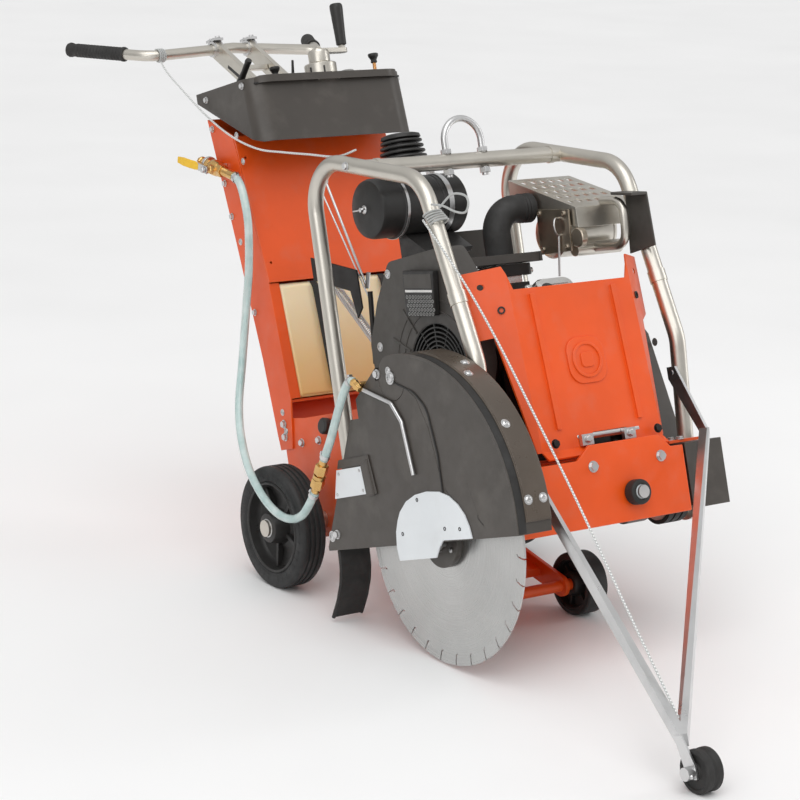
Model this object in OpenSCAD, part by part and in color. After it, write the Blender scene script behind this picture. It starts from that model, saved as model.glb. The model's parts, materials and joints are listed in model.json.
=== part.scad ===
// Walk-behind concrete saw, standing in its transport pose: the lift arm is down,
// so the chassis is pitched nose-up over its rear axle and the blade clears the floor.
// Every sub-part is drawn on the level chassis (X across, Y to the rear, Z up, blade
// at -X) and then pitched about the rear axle by one shared module.

/* [Stance] */
// Nose-up pitch of the chassis while the saw stands on its lift arm
pitch = 17; // [16:0.25:18]
// Diameter of the rear wheels
rear_wheel_d = 262; // [250:2:270]
// Diameter of the front wheels
front_wheel_d = 132; // [124:2:136]
// Distance over the outer faces of the rear tyres
track_w = 660; // [640:10:680]

/* [Blade] */
// Diameter of the blade
blade_d = 500; // [450:10:500]
// Thickness of the blade core
blade_t = 3.6; // [3:0.2:4]
// Number of segments on the rim
segments = 30; // [24:1:32]
// Radius of the blade shaft
shaft_r = 17.5; // [15:0.5:18]

/* [Frame] */
// Half of the distance between the side plates' outer faces
side_x = 195.8; // [190:0.2:195.8]
// Half of the distance between the centres of the two hoops
hoop_x = 250; // [248:1:251]
// Radius of the hoop tube
hoop_r = 16.5; // [14:0.5:16.5]
// Half width of the column
column_x = 200; // [200:0.5:202]
// Half width of the console
console_x = 204; // [200:1:206]

/* [Guard] */
// Radius of the guard's front arc
guard_r = 330; // [328:1:332]
// Outer face of the guard, measured from the middle of the saw
guard_out = 347; // [340:1:350]
// Inner face of the guard, measured from the middle of the saw
guard_in = 270; // [270:1:275]
// Sheet thickness of the guard
guard_t = 3; // [2:0.5:4]

/* [Handlebar] */
// Radius of the handlebar tube
bar_r = 12.5; // [11:0.5:13]
// Half width between the bends of the handlebar
bar_x = 225; // [220:1:230]

/* [Hidden] */
$fn = 48;

// Colours
orange = [0.93, 0.33, 0.04];
dark = [0.27, 0.25, 0.23];
black = [0.08, 0.08, 0.08];
silver = [0.75, 0.75, 0.72];
brass = [0.75, 0.55, 0.25];
white = [0.9, 0.92, 0.94];
cream = [0.93, 0.83, 0.65];
clear_hose = [0.75, 0.86, 0.84];

// Shared reference points on the level chassis, as [y, z]
axle_z = rear_wheel_d / 2;
shaft = [-606, 77];
crank_axis = [-526, 400];
lift_pivot = [-190, 62];
guard_centre = [-578, 112];
guard_hinge = [-566, 398];
pointer_hinge = [-716, 331];
handle_hinge = [262, 1122];
crank_y = 52;
run = 0.05; // radial clearance of a running fit

// A point given on the level floor, expressed on the pitched chassis
function level(y, z) = [y * cos(pitch) - (z - axle_z) * sin(pitch),
                        y * sin(pitch) + (z - axle_z) * cos(pitch) + axle_z];
front_axle = level(-480, front_wheel_d / 2);
tip_wheel_r = 39;
tip = level(-1357, tip_wheel_r);
tip_x = -303;

// Middle of the footprint, which becomes the origin
mid_x = -17.5;
mid_y = -240;

// ---- shared tools ----

module pitched() translate([-mid_x, -mid_y, axle_z]) rotate([-pitch, 0, 0])
  translate([0, 0, -axle_z]) children();
// Draws a flat (y, z) outline's solid with its thickness along +X from x
module yz(x) translate([x, 0, 0]) rotate([90, 0, 90]) children();
module plate(x, t) yz(x) linear_extrude(t) children();
module both_sides() for (s = [0, 1]) mirror([s, 0, 0]) children();
// A cylinder along X at the point p = [y, z]
module rod_x(x0, x1, p, r) translate([x0, p.x, p.y]) rotate([0, 90, 0]) cylinder(h = x1 - x0, r = r);
module ring_x(x0, x1, p, r, bore) difference() {
  rod_x(x0, x1, p, r);
  rod_x(x0 - 1, x1 + 1, p, bore);
}
// A cylinder between two points
module bar(a, b, r) {
  d = b - a;
  translate(a) rotate([0, acos(d.z / norm(d)), atan2(d.y, d.x)]) cylinder(h = norm(d), r = r);
}
module block(a, b) translate(a) cube(b - a);
// A strip of sheet that follows a path of [y, z] points, t thick towards +Y
module strip(path, t) polygon(concat(path, [for (i = [len(path) - 1:-1:0]) path[i] + [t, 0]]));
// A hex-headed bolt with its washer, standing on its seat and pointing along +Z
module bolt(r = 5) {
  cylinder(h = 1.6, r = r * 1.9);
  translate([0, 0, 1.6]) cylinder(h = r, r = r * 1.5, $fn = 6);
}
module bolt_x(x, p, side = -1, r = 5) translate([x, p.x, p.y]) rotate([0, side * 90, 0]) bolt(r);
module bolt_y(x, y, z, r = 5) translate([x, y, z]) rotate([90, 0, 0]) bolt(r);

// A tube that follows straight runs joined by bends, in the XY plane. The straight runs
// reach a little way into the bends, which are a hair thinner.
lap = 0.5;
hair = 0.02;
function turn(a, b) = (b - a + 540) % 360 - 180;
module bent_tube(path, r, bend) {
  last = len(path) - 1;
  heading = [for (i = [0:last - 1]) atan2(path[i + 1].y - path[i].y, path[i + 1].x - path[i].x)];
  cut = [for (i = [0:last]) i == 0 || i == last ? 0 : bend * tan(abs(turn(heading[i - 1], heading[i])) / 2)];
  for (i = [0:last - 1]) {
    from = i == 0 ? 0 : cut[i] - lap;
    to = norm(path[i + 1] - path[i]) - (i == last - 1 ? 0 : cut[i + 1] - lap);
    translate(path[i]) rotate([0, 0, heading[i]]) translate([from, 0, 0]) rotate([0, 90, 0])
      cylinder(h = to - from, r = r);
  }
  for (i = [1:last - 1]) {
    t = turn(heading[i - 1], heading[i]);
    side = t > 0 ? 1 : -1;
    translate(path[i]) rotate([0, 0, heading[i - 1]]) translate([-cut[i], side * bend, 0])
      rotate([0, 0, -side * 90]) rotate_extrude(angle = t) translate([bend, 0]) circle(r - hair);
  }
}

// A hose or rope: rings swept along a smooth curve through its route points
function curve_at(p, i, t) = let (a = p[max(i - 1, 0)], b = p[i], c = p[i + 1], d = p[min(i + 2, len(p) - 1)])
  0.5 * (2 * b + (c - a) * t + (2 * a - 5 * b + 4 * c - d) * t * t + (3 * b - a - 3 * c + d) * t * t * t);
function curve(p, n) = concat([for (i = [0:len(p) - 2], k = [0:n - 1]) curve_at(p, i, k / n)], [p[len(p) - 1]]);
function unit(v) = v / norm(v);
module swept(route, r, sides, n, across) {
  mid = curve(route, n);
  last = len(mid) - 1;
  rings = [for (i = [0:last]) let (
      along = unit(mid[min(i + 1, last)] - mid[max(i - 1, 0)]),
      u = unit(across - (across * along) * along), v = cross(along, u))
      for (k = [0:sides - 1]) mid[i] + r * (cos(360 * k / sides) * u + sin(360 * k / sides) * v)];
  polyhedron(rings, concat(
    [[for (k = [sides - 1:-1:0]) k]], [[for (k = [0:sides - 1]) last * sides + k]],
    [for (i = [0:last - 1], k = [0:sides - 1]) let (a = i * sides + k, b = i * sides + (k + 1) % sides)
      [a, b, b + sides, a + sides]]), convexity = 8);
}

// ---- chassis ----

side_top = [[-700, 196], [-262, 196], [-200, 352], [20, 352], [110, 360], [110, 240], [84, 150], [52, 92]];
side_low = [[-48, 92], [-120, 128], [-640, 128], [-700, 150]];
deck_z = 190;

module chassis_frame() pitched() color(orange) {
  difference() {
    union() {
      both_sides() plate(side_x - 6, 6) polygon(concat(side_top, side_low));
      block([6 - side_x, -700, deck_z], [side_x - 6, -120, deck_z + 6]);
      block([6 - side_x, -124, 128], [side_x - 6, -118, deck_z]);
      both_sides() plate(96, 12) polygon([[-230, deck_z], [-150, deck_z], [-168, 62], [-178, 44], [-202, 44], [-212, 62]]);
      rod_x(-96, 96, lift_pivot, 12);
      both_sides() for (y = [-246, -722]) block([side_x - 6, y, deck_z], [268, y + 40, deck_z + 6]);
    }
    rod_x(-400, 400, [0, axle_z], 12.5);
  }
}

module rear_axle() pitched() color(silver) {
  both_sides() {
    rod_x(0, track_w / 2 + 8, [0, axle_z], 12.5);
    rod_x(track_w / 2 + 8, track_w / 2 + 14, [0, axle_z], 18);
  }
  both_sides() ring_x(side_x, 264, [0, axle_z], 20, 12.5);
}

module front_beam() pitched() color(orange) {
  block([-250, -785, 56], [170, -777, 187]);
  block([-250, -777, 179], [170, -700, 187]);
  block([-250, -777, 56], [170, -724, 62]);
  block([164, -777, 62], [170, -700, 179]);
  translate([0, -777, 0]) rotate([90, 0, 0]) linear_extrude(8)
    polygon([[-95, 187], [-62, 214], [112, 214], [140, 187]]);
}

belt_box = [[-760, 57], [-760, 189], [-644, 189], [-584, 420], [-556, 452], [-496, 452], [-470, 420], [-530, 57]];
belt_inside = [[-757, 40], [-757, 186], [-642, 186], [-581, 419], [-554, 449], [-498, 449], [-473, 419], [-533, 40]];
box_in = side_x + 0.5;
box_out = 292;

module belt_guard() pitched() color(dark) difference() {
  plate(box_in, box_out - box_in) polygon(belt_box);
  plate(box_in - 1, box_out - box_in - 2) polygon(belt_inside);
  rod_x(box_out - 10, box_out + 10, shaft, 24);
}

pulley_small = 30;
pulley_large = 40;
belt_w = 13;
module belt(x) plate(x, belt_w) difference() {
  hull() {
    translate(shaft) circle(pulley_large + 9);
    translate(crank_axis) circle(pulley_small + 9);
  }
  hull() {
    translate(shaft) circle(pulley_large + 0.5);
    translate(crank_axis) circle(pulley_small + 0.5);
  }
}
module drive_belts() pitched() color(black) for (i = [0:2]) belt(228 + 18 * i);

// ---- column, tank and console ----

column_back = [[125, 290], [130, 326], [147, 496], [187, 758], [236, 1046]];
column_front = [[139, 994], [75, 654], [54, 398], [76, 290]];

module column() pitched() color(orange) {
  both_sides() {
    plate(column_x - 4, 4) polygon(concat(column_back, column_front));
    plate(column_x - 26, 22) strip([[54, 398], [75, 654]], 4);
  }
  plate(4 - column_x, 2 * column_x - 8) polygon(concat(column_back, [for (i = [4:-1:0]) column_back[i] - [4, 0]]));
  block([4 - column_x, 60, 390], [column_x - 4, 128, 396]);
}

cover_path = [[135, 990], [75, 656]];
module column_cover() pitched() color(orange) difference() {
  plate(-column_x, 2 * column_x) strip(cover_path - [[4, 0], [4, 0]], 3.8);
  for (z = [700, 940]) both_sides() translate([column_x - 16, 200, z]) rotate([90, 0, 0]) cylinder(h = 300, r = 3);
}

module fuel_tank() pitched() color(cream) plate(26.5 - column_x, 2 * column_x - 53)
  polygon([[50, 404], [56, 398], [122, 398], [130, 406], [152, 560], [164, 640], [158, 648], [80, 652], [70, 644]]);

console_side = [[16, 958], [2, 1090], [10, 1101], [262, 1108], [268, 1100], [246, 1056], [150, 1004]];
module console() pitched() color(dark) difference() {
  plate(-console_x, 2 * console_x) polygon(console_side);
  plate(3 - console_x, 2 * console_x - 6)
    polygon([[19, 940], [5, 1090], [12, 1098], [300, 1105], [300, 1000], [150, 940]]);
  block([14 - console_x, 24, 1080], [console_x - 14, 300, 1120]);
}

module console_panel() pitched() color(black) difference() {
  union() {
    plate(14.4 - console_x, 2 * console_x - 28.8) polygon([[26, 1086], [26, 1090], [250, 1096], [250, 1092]]);
    translate([0, crank_y, 1088]) cylinder(h = 40, r = 27);
    both_sides() plate(52, 14) polygon([[232, 1093], [282, 1094], [282, 1134], [262, 1142], [242, 1134]]);
    translate([-100, 84, 1090]) cylinder(h = 14, r = 15);
    translate([150, 60, 1090]) cylinder(h = 14, r = 13);
  }
  translate([0, crank_y, 1070]) cylinder(h = 90, r = 12 + run);
  rod_x(-80, 80, handle_hinge, 6 + run);
  translate([-100, 84, 1070]) cylinder(h = 60, r = 4 + run);
  translate([150, 60, 1070]) cylinder(h = 60, r = 4 + run);
}

// ---- hoops, front cover ----

foot_z = deck_z + 6;
hoop_path = [[-226, 190], [-237, 881], [-628, 772], [-722, 400], [-701.4, 190]];
module hoop(x) difference() {
  yz(x) bent_tube(hoop_path, hoop_r, 90);
  block([x - 20, -740, 170], [x + 20, -190, foot_z]);
}
module hoop_right() pitched() color(silver) hoop(-hoop_x);
module hoop_left() pitched() color(silver) hoop(hoop_x);

cross_p = [-437, 825.2];
module cross_tube() pitched() color(silver) difference() {
  rod_x(-hoop_x, hoop_x, cross_p, hoop_r);
  both_sides() bar([hoop_x, hoop_path[1].x, hoop_path[1].y], [hoop_x, hoop_path[2].x, hoop_path[2].y], hoop_r);
  for (s = [-1, 1]) translate([46 * s, cross_p.x, 780]) cylinder(h = 100, r = 7);
}

module lifting_eye() pitched() color(silver) translate([0, cross_p.x, cross_p.y]) {
  for (s = [-1, 1]) translate([46 * s, 0, 0]) {
    translate([0, 0, -hoop_r - 16]) cylinder(h = hoop_r + 58, r = 7);
    translate([0, 0, hoop_r]) cylinder(h = 9, r = 12, $fn = 6);
    translate([0, 0, -hoop_r - 11]) cylinder(h = 11, r = 12, $fn = 6);
  }
  translate([0, 0, 42]) rotate([90, 0, 0]) rotate_extrude(angle = 180) translate([46, 0]) circle(7);
}

cover_h = 370;
// Cross-section of the cover: front face, and a face folded back on each side
cover_section = [[-218, 52], [-150, 0], [150, 0], [218, 52], [218, 56], [149, 4], [-149, 4], [-218, 56]];
cover_outline = [[-157, -6], [-180, 190], [-186, 236], [-214, 236], [-219, 372], [-156, 372], [-140, 322],
                 [140, 322], [156, 372], [219, 372], [214, 250], [186, 236], [180, 190], [157, -6],
                 [78, -6], [64, 26], [-20, 26], [-34, -6]];
module front_cover() pitched() color(orange) difference() {
  translate([0, -752, 212]) rotate([-5.5, 0, 0]) {
    intersection() {
      linear_extrude(cover_h) polygon(cover_section);
      translate([0, 100, 0]) rotate([90, 0, 0]) linear_extrude(200) polygon(cover_outline);
    }
    both_sides() translate([96, -5, 40]) cube([10, 6, 270]);
    difference() {
      translate([0, 0, 0]) rotate([0, 90, 0]) translate([0, 0, -150]) linear_extrude(300)
        polygon([[0, 4], [0, 0], [16, -16], [19, -13]]);
      block([-34, -40, -40], [78, 40, 30]);
    }
  }
  both_sides() translate([192, -600, 545]) rotate([90, 0, 0]) cylinder(h = 200, r = 6);
}

// ---- engine ----

module cylinder_bank(angle, x) translate([x, crank_axis.x, crank_axis.y]) rotate([angle, 0, 0]) {
  translate([-48, -42, 60]) cube([96, 84, 70]);
  for (i = [0:5]) translate([-60, -56, 72 + 11 * i]) cube([120, 112, 4]);
  translate([-56, -50, 133]) cube([112, 100, 26]);
}
module engine_block() pitched() color(black) difference() {
  union() {
    rod_x(-150, 150, crank_axis, 88);
    block([-120, -630, 206], [120, -420, 380]);
    block([-135, -650, 196], [135, -400, 206]);
    block([-10, -500, 470], [70, -438.5, 599.8]);
    cylinder_bank(48, 14);
    cylinder_bank(-48, -34);
    rod_x(150, 190, crank_axis, 40);
  }
  rod_x(120, 200, crank_axis, 15 + run);
}

module rocker(angle, x) translate([x, crank_axis.x, crank_axis.y]) rotate([angle, 0, 0])
  translate([0, 0, 159]) {
    translate([-54, -44, 0]) cube([108, 88, 8]);
    hull() {
      for (a = [-34, 34], b = [-26, 26]) translate([a, b, 8]) cylinder(h = 16, r = 14, $fn = 32);
      for (a = [-26, 26], b = [-18, 18]) translate([a, b, 30]) cylinder(h = 3, r = 12, $fn = 32);
    }
    translate([-30, 0, 33]) cylinder(h = 10, r = 14);
  }
module rocker_covers() pitched() color(silver) {
  rocker(48, 14);
  rocker(-48, -34);
}

fan_outline = [[-300, 335], [-296, 480], [-340, 560], [-400, 636], [-600, 640], [-652, 560], [-656, 400],
               [-620, 320], [-560, 280], [-380, 280]];
module fan_housing() pitched() color(dark) difference() {
  union() {
    plate(-206, 52) polygon(fan_outline);
    plate(-222, 16) polygon([[-476, 520], [-476, 622], [-566, 618], [-570, 512]]);
  }
  rod_x(-210, -196, crank_axis, 52);
  rod_x(-200, -150, crank_axis, 94);
}

filter_p = [-343, 752];
module air_filter() pitched() color(black) {
  rod_x(-200, 20, filter_p, 62);
  rod_x(-206, -200, filter_p, 58);
  rod_x(-214, -206, filter_p, 14);
  plate(-120, 120) polygon([[-330, 692], [-356, 692], [-420, 640.2], [-330, 640.2]]);
}
module precleaner() pitched() color(black) translate([-88, filter_p.x, 0]) difference() {
  union() {
    translate([0, 0, 800]) cylinder(h = 46, r = 26);
    translate([0, 0, 846]) cylinder(h = 14, r1 = 40, r2 = 50);
    translate([0, 0, 860]) cylinder(h = 24, r = 50);
    translate([0, 0, 884]) cylinder(h = 18, r1 = 44, r2 = 34);
  }
  translate([88, 0, 0]) rod_x(-200, 20, [0, filter_p.y], 62);
}
module intake_elbow() pitched() color(black) {
  translate([30, -466, 600]) cylinder(h = 62, r = 31);
  translate([30, -466, 662]) rotate([90, 0, 0]) translate([52, 0, 0]) rotate([0, 0, 90])
    rotate_extrude(angle = 90) translate([52, 0]) circle(31);
  translate([82, -466, 714]) rotate([0, 90, 0]) cylinder(h = 40, r = 31);
}

module muffler() pitched() color(silver) {
  rod_x(136, 284, [-500, 652], 50);
  rod_x(150, 270, [-560, 610], 14);
  plate(262, 4) polygon([[-500, 560], [-600, 580], [-600, 690], [-500, 700]]);
}
guard_slope = [[-612, 692], [-400, 782]];
module muffler_guard() pitched() color(silver) difference() {
  union() {
    plate(128, 164) polygon([guard_slope[0], guard_slope[1], guard_slope[1] + [0, -3], guard_slope[0] + [3, -3]]);
    plate(128, 164) polygon([[-612, 692], [-609, 692], [-609, 650], [-612, 650]]);
    for (x = [128, 289]) plate(x, 3) polygon([[-612, 692], [-400, 782], [-400, 740], [-609, 650]]);
  }
  for (i = [0:5], j = [0:4])
    translate([142 + 24 * i, -580 + 36 * j, 600]) cube([12, 20, 300]);
}

// ---- blade drive ----

module bearing(x0, x1) difference() {
  union() {
    rod_x(x0, x1, shaft, 36);
    block([x0 + 6, shaft.x - 24, shaft.y], [x1 - 6, shaft.x + 24, deck_z]);
  }
  rod_x(x0 - 1, x1 + 1, shaft, shaft_r + run);
}
module shaft_bearings() pitched() color(dark) {
  bearing(-188, -136);
  bearing(136, 188);
}
blade_x = -300;
module blade_shaft() pitched() color(silver) {
  rod_x(blade_x - 25, 325, shaft, shaft_r);
  rod_x(226, 280, shaft, pulley_large);
  rod_x(300, 315, shaft, 50);
  rod_x(325, 334, shaft, 15);
}
module blade() pitched() color(silver) difference() {
  union() {
    rod_x(blade_x - blade_t / 2, blade_x + blade_t / 2, shaft, blade_d / 2 - 5);
    difference() {
      ring_x(blade_x - blade_t / 2 - 0.4, blade_x + blade_t / 2 + 0.4, shaft, blade_d / 2, blade_d / 2 - 10);
      for (i = [0:segments - 1]) slot(i);
    }
  }
  for (i = [0:segments - 1]) slot(i);
  rod_x(blade_x - 10, blade_x + 10, shaft, shaft_r + run);
}
module slot(i) translate([blade_x - 5, shaft.x, shaft.y]) rotate([360 * i / segments, 0, 0])
  translate([0, -1.5, blade_d / 2 - 24]) cube([10, 3, 30]);
module blade_flanges() pitched() color(dark) difference() {
  union() {
    rod_x(blade_x - 16, blade_x - blade_t / 2, shaft, 57);
    rod_x(blade_x + blade_t / 2, blade_x + 14, shaft, 57);
    rod_x(blade_x - 24, blade_x - 16, shaft, 24);
  }
  rod_x(blade_x - 40, blade_x + 40, shaft, shaft_r);
}
module engine_pulley() pitched() color(silver) {
  rod_x(150, 284, crank_axis, 15);
  rod_x(226, 280, crank_axis, pulley_small);
}

// ---- blade guard ----

rear_edge = [[-541, 440], [-417, 360], [-250, 81], [-250, 73]];
module guard_outline(t) {
  intersection() {
    translate(guard_centre) circle(guard_r - t);
    translate([-1000, 73]) square([1000 + rear_edge[0].x, 500]);
  }
  polygon([rear_edge[0] - [0, t * 1.2], rear_edge[1] - [0.74, 0.71] * t, rear_edge[2] - [1.17, 0] * t,
           rear_edge[3] - [1.17, 0] * t, [-700, 73], [-700, 380]]);
}
// The guard's two side plates and the strip that wraps their edge, as separate sheets
strip_gap = 0.1;
module guard_sheets() {
  plate(-guard_out, guard_t) guard_outline(0);
  plate(-guard_in - guard_t, guard_t) difference() {
    guard_outline(0);
    translate(shaft) circle(62);
  }
  plate(guard_t + strip_gap - guard_out, guard_out - guard_in - 2 * (guard_t + strip_gap)) difference() {
    guard_outline(0);
    guard_outline(guard_t);
  }
}
// Front half of the guard, seen from the side: it ends along the seam and in a round ear
seam = [[-578, 398], [-640, 352], [-668, 290], [-686, 180], [-722, 143], [-756, 73]];
ear_r = 44.5;
// Radius about the hinge that the raised front part sweeps through above it
lift_r = 57;
module front_half(grow) {
  polygon(concat([for (p = seam) p + [grow, 0]], [[-756 + grow, 0], [-1000, 0], [-1000, 500], [-560, 500]]));
  translate(guard_hinge) circle(ear_r + grow);
}
module lift_clearance() {
  translate(guard_hinge) intersection() {
    circle(lift_r);
    translate([-lift_r, 0]) square([2 * lift_r, lift_r]);
  }
}
module guard_rear() pitched() color(dark) {
  difference() {
    guard_sheets();
    plate(-guard_out - 5, guard_out - guard_in + 10) lift_clearance();
    plate(-guard_out - 5, guard_out - guard_in + 10) front_half(1);
    block([-guard_out - 1, -430, 330], [-310, -380, 420]);
  }
  rod_x(-guard_out, -guard_in, guard_hinge, 8);
  plate(strip_gap - guard_in, guard_in - side_x - 0.3)
    polygon([[-460, 150], [-300, 150], [-300, 190], [-460, 190]]);
}
module guard_front() pitched() color(dark) difference() {
  guard_sheets();
  difference() {
    block([-guard_out - 5, -1000, 0], [5 - guard_in, 0, 700]);
    plate(-guard_out - 6, guard_out - guard_in + 12) front_half(0);
  }
  rod_x(-guard_out - 6, -guard_in + 6, guard_hinge, 8 + run);
}
module flange_cover() pitched() color(white) plate(-guard_out - 4, 3.8) difference() {
  union() {
    intersection() {
      translate([-614, 74]) circle(112);
      polygon([[-500, 43], [-500, 200], [-684, 200], [-684, 178], [-714, 140], [-722, 78], [-664, 76], [-650, 43]]);
    }
  }
  for (p = [[-560, 150], [-530, 80], [-650, 96], [-690, 96]]) translate(p) circle(4);
}
module guard_plate() pitched() color(white) difference() {
  plate(-guard_out - 3, 2.8) polygon([[-326, 234], [-419, 236], [-424, 180], [-306, 177]]);
  for (p = [[-334, 226], [-410, 228], [-414, 188], [-318, 185]]) rod_x(-guard_out - 5, -guard_out + 5, p, 2.5);
}
module water_pipe() pitched() color(silver) yz(-guard_out - 5)
  bent_tube([[-470, 384], [-560, 350], [-588, 310], [-602, 206]], 4, 16);
module guard_tee() pitched() color(brass) {
  rod_x(-guard_out - 2, -guard_out + 20, [-452, 395], 7);
  bar([-guard_out - 9, -444, 404], [-guard_out - 9, -466, 385], 9);
}
flap_path = [[-286, 72.5], [-284, 36], [-274, 4], [-254, -30], [-226, -64]];
module mud_flap() pitched() color(black) plate(1 - guard_out, guard_out - guard_in - 2) strip(flap_path, 8);

// ---- water supply ----

valve_a = [-222, 250, 956];
valve_b = [-222, 118, 900];
valve_stem = [185, 928.4];
valve_rise = 23;
lever_end = valve_stem + 96 * [cos(valve_rise), sin(valve_rise)];
module water_valve() pitched() color(brass) difference() {
  union() {
    bar(valve_a, valve_b, 10);
    bar([-222, 215, 941.2], [-222, 155, 915.8], 17);
    block([-222, 176, 914], [-column_x - 0.2, 196, 938]);
    rod_x(-248, -222, valve_stem, 9);
  }
  rod_x(-250, -234, valve_stem, 4 + run);
}
module valve_lever() pitched() color([0.95, 0.75, 0.1]) {
  rod_x(-260, -236, valve_stem, 4);
  hull() {
    rod_x(-258, -253, valve_stem, 11);
    rod_x(-268, -263, lever_end, 9);
  }
}

hose_r = 9;
long_route = [[-222, 118, 900], [-224, 96, 882], [-230, 76, 840], [-236, 66, 780], [-242, 80, 690], [-248, 104, 610],
              [-262, 128, 500], [-290, 124, 400], [-318, 86, 325], [-346, 20, 250], [-360, -56, 184],
              [-366, -130, 150], [-368, -200, 152], [-367, -262, 196]];
short_route = [[-367, -312, 258], [-366, -350, 300], [-362, -392, 360], [-358, -418, 394], [-356, -432, 405],
               [-356, -444, 404]];
module hose_long() pitched() color(clear_hose) swept(long_route, hose_r, 10, 4, [1, 0, 0]);
module hose_short() pitched() color(clear_hose) swept(short_route, hose_r, 10, 3, [1, 0, 0]);
module hose_coupling() pitched() color(brass) {
  a = long_route[len(long_route) - 1];
  b = short_route[0];
  bar(a, b, 9);
  bar(a + (b - a) * 0.12, a + (b - a) * 0.42, 14);
  bar(a + (b - a) * 0.58, a + (b - a) * 0.88, 14);
}

// ---- rope ----

rope_r = 2.2;
rope_rear_route = [[-200, 397.4, 1216.4], [-206, 375, 1186], [-216, 300, 1128], [-222, 200, 1050], [-224, 100, 985],
                   [-224, 0, 940], [-224, -100, 915], [-226, -200, 893], [-236, -320, 868], [-250, -414, 866]];
rope_front_route = [[-270, -640, 690], [-262, -730, 560], [-256, -800, 440], [-258, -880, 300], [-268, -990, 120],
                    [-284, -1110, -80], [-300, -1214, -242]];
module rope_rear() pitched() color(white) swept(rope_rear_route, rope_r, 8, 6, [1, 0, 0]);
module rope_front() pitched() color(white) swept(rope_front_route, rope_r, 8, 8, [1, 0, 0]);

// ---- lift arm and wheels ----

module lift_arm() pitched() color(orange) {
  toe = front_axle;
  difference() {
    union() {
      both_sides() plate(78, 10) hull() {
        translate(lift_pivot) circle(24);
        translate(toe) circle(22);
      }
      rod_x(-88, 88, lift_pivot, 20);
      plate(-78, 156) polygon([lift_pivot + [-60, -36], lift_pivot + [-60, -20], toe + [60, 40], toe + [60, 24]]);
    }
    rod_x(-100, 100, lift_pivot, 12 + run);
  }
  rod_x(-158, 158, toe, 12);
  both_sides() rod_x(158, 162, toe, 17);
}
module front_wheel() difference() {
  r = front_wheel_d / 2;
  union() {
    ring_x(104, 156, front_axle, r, r - 10);
    rod_x(112, 148, front_axle, r - 10);
    rod_x(102, 157, front_axle, 22);
  }
  rod_x(90, 170, front_axle, 12 + run);
  for (i = [0:5]) rod_x(100, 160, front_axle + 38 * [cos(60 * i), sin(60 * i)], 9);
}
module front_wheel_left() pitched() color(black) front_wheel();
module front_wheel_right() pitched() color(black) mirror([1, 0, 0]) front_wheel();

tyre_in = 268;
bead_r = 98;
module rear_wheel() difference() {
  union() {
    ring_x(tyre_in + 3, track_w / 2 - 3, [0, axle_z], bead_r, bead_r - 6);
    rod_x(tyre_in + 18, tyre_in + 24, [0, axle_z], bead_r - 5);
    rod_x(tyre_in - 2, track_w / 2 + 7, [0, axle_z], 32);
  }
  rod_x(tyre_in - 20, track_w / 2 + 20, [0, axle_z], 12.5 + run);
  for (i = [0:4]) rod_x(tyre_in, track_w / 2, [62 * cos(72 * i), axle_z + 62 * sin(72 * i)], 7);
}
module rear_tyre() translate([0, 0, axle_z]) rotate([0, 90, 0]) rotate_extrude() {
  r = rear_wheel_d / 2;
  polygon([[bead_r + 0.1, tyre_in], [r - 8, tyre_in], [r, tyre_in + 8], [r, track_w / 2 - 8],
           [r - 8, track_w / 2], [bead_r + 0.1, track_w / 2]]);
}
module rear_wheel_left() pitched() color(black) rear_wheel();
module rear_wheel_right() pitched() color(black) mirror([1, 0, 0]) rear_wheel();
module rear_tyre_left() pitched() color(black) rear_tyre();
module rear_tyre_right() pitched() color(black) mirror([1, 0, 0]) rear_tyre();

roller_x = 30;
module bumper_roller() pitched() color(black) translate([roller_x, -785.5, 110]) rotate([90, 0, 0]) difference() {
  cylinder(h = 26, r = 25);
  translate([0, 0, -1]) cylinder(h = 40, r = 8 + run);
}

// ---- handlebar, crank and controls ----

bar_mid = [0, 412, 1240];
arm_start = [bar_x, 404, 1226];
arm_end = [320, 580, 1281];
function arm_at(t) = arm_start + (arm_end - arm_start) * t;
module handlebar() pitched() color(silver) {
  both_sides() {
    bar(arm_start, [0, bar_mid.y, bar_mid.z], bar_r);
    translate(arm_start) sphere(bar_r);
    bar(arm_start, arm_end, bar_r);
  }
  both_sides() plate(38.5, 13) difference() {
    polygon([handle_hinge + [-14, -10], handle_hinge + [12, -16], bar_mid_yz() + [14, -12],
             bar_mid_yz() + [10, 14], bar_mid_yz() + [-14, 12], handle_hinge + [-16, 10]]);
    translate(handle_hinge) circle(6 + run);
  }
}
function bar_mid_yz() = [bar_mid.y, bar_mid.z];
module handle_grips() pitched() color(black) both_sides() difference() {
  bar(arm_at(0.34), arm_at(1.1), 17);
  bar(arm_at(0.3), arm_at(1.005), bar_r + run);
}

module clamp_lever() pitched() color(black) {
  rod_x(-82, 82, handle_hinge, 6);
  hull() {
    rod_x(-96, -84, handle_hinge, 11);
    rod_x(-100, -88, handle_hinge + [-66, 44], 8);
  }
  rod_x(-86, -80, handle_hinge, 10);
}

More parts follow.
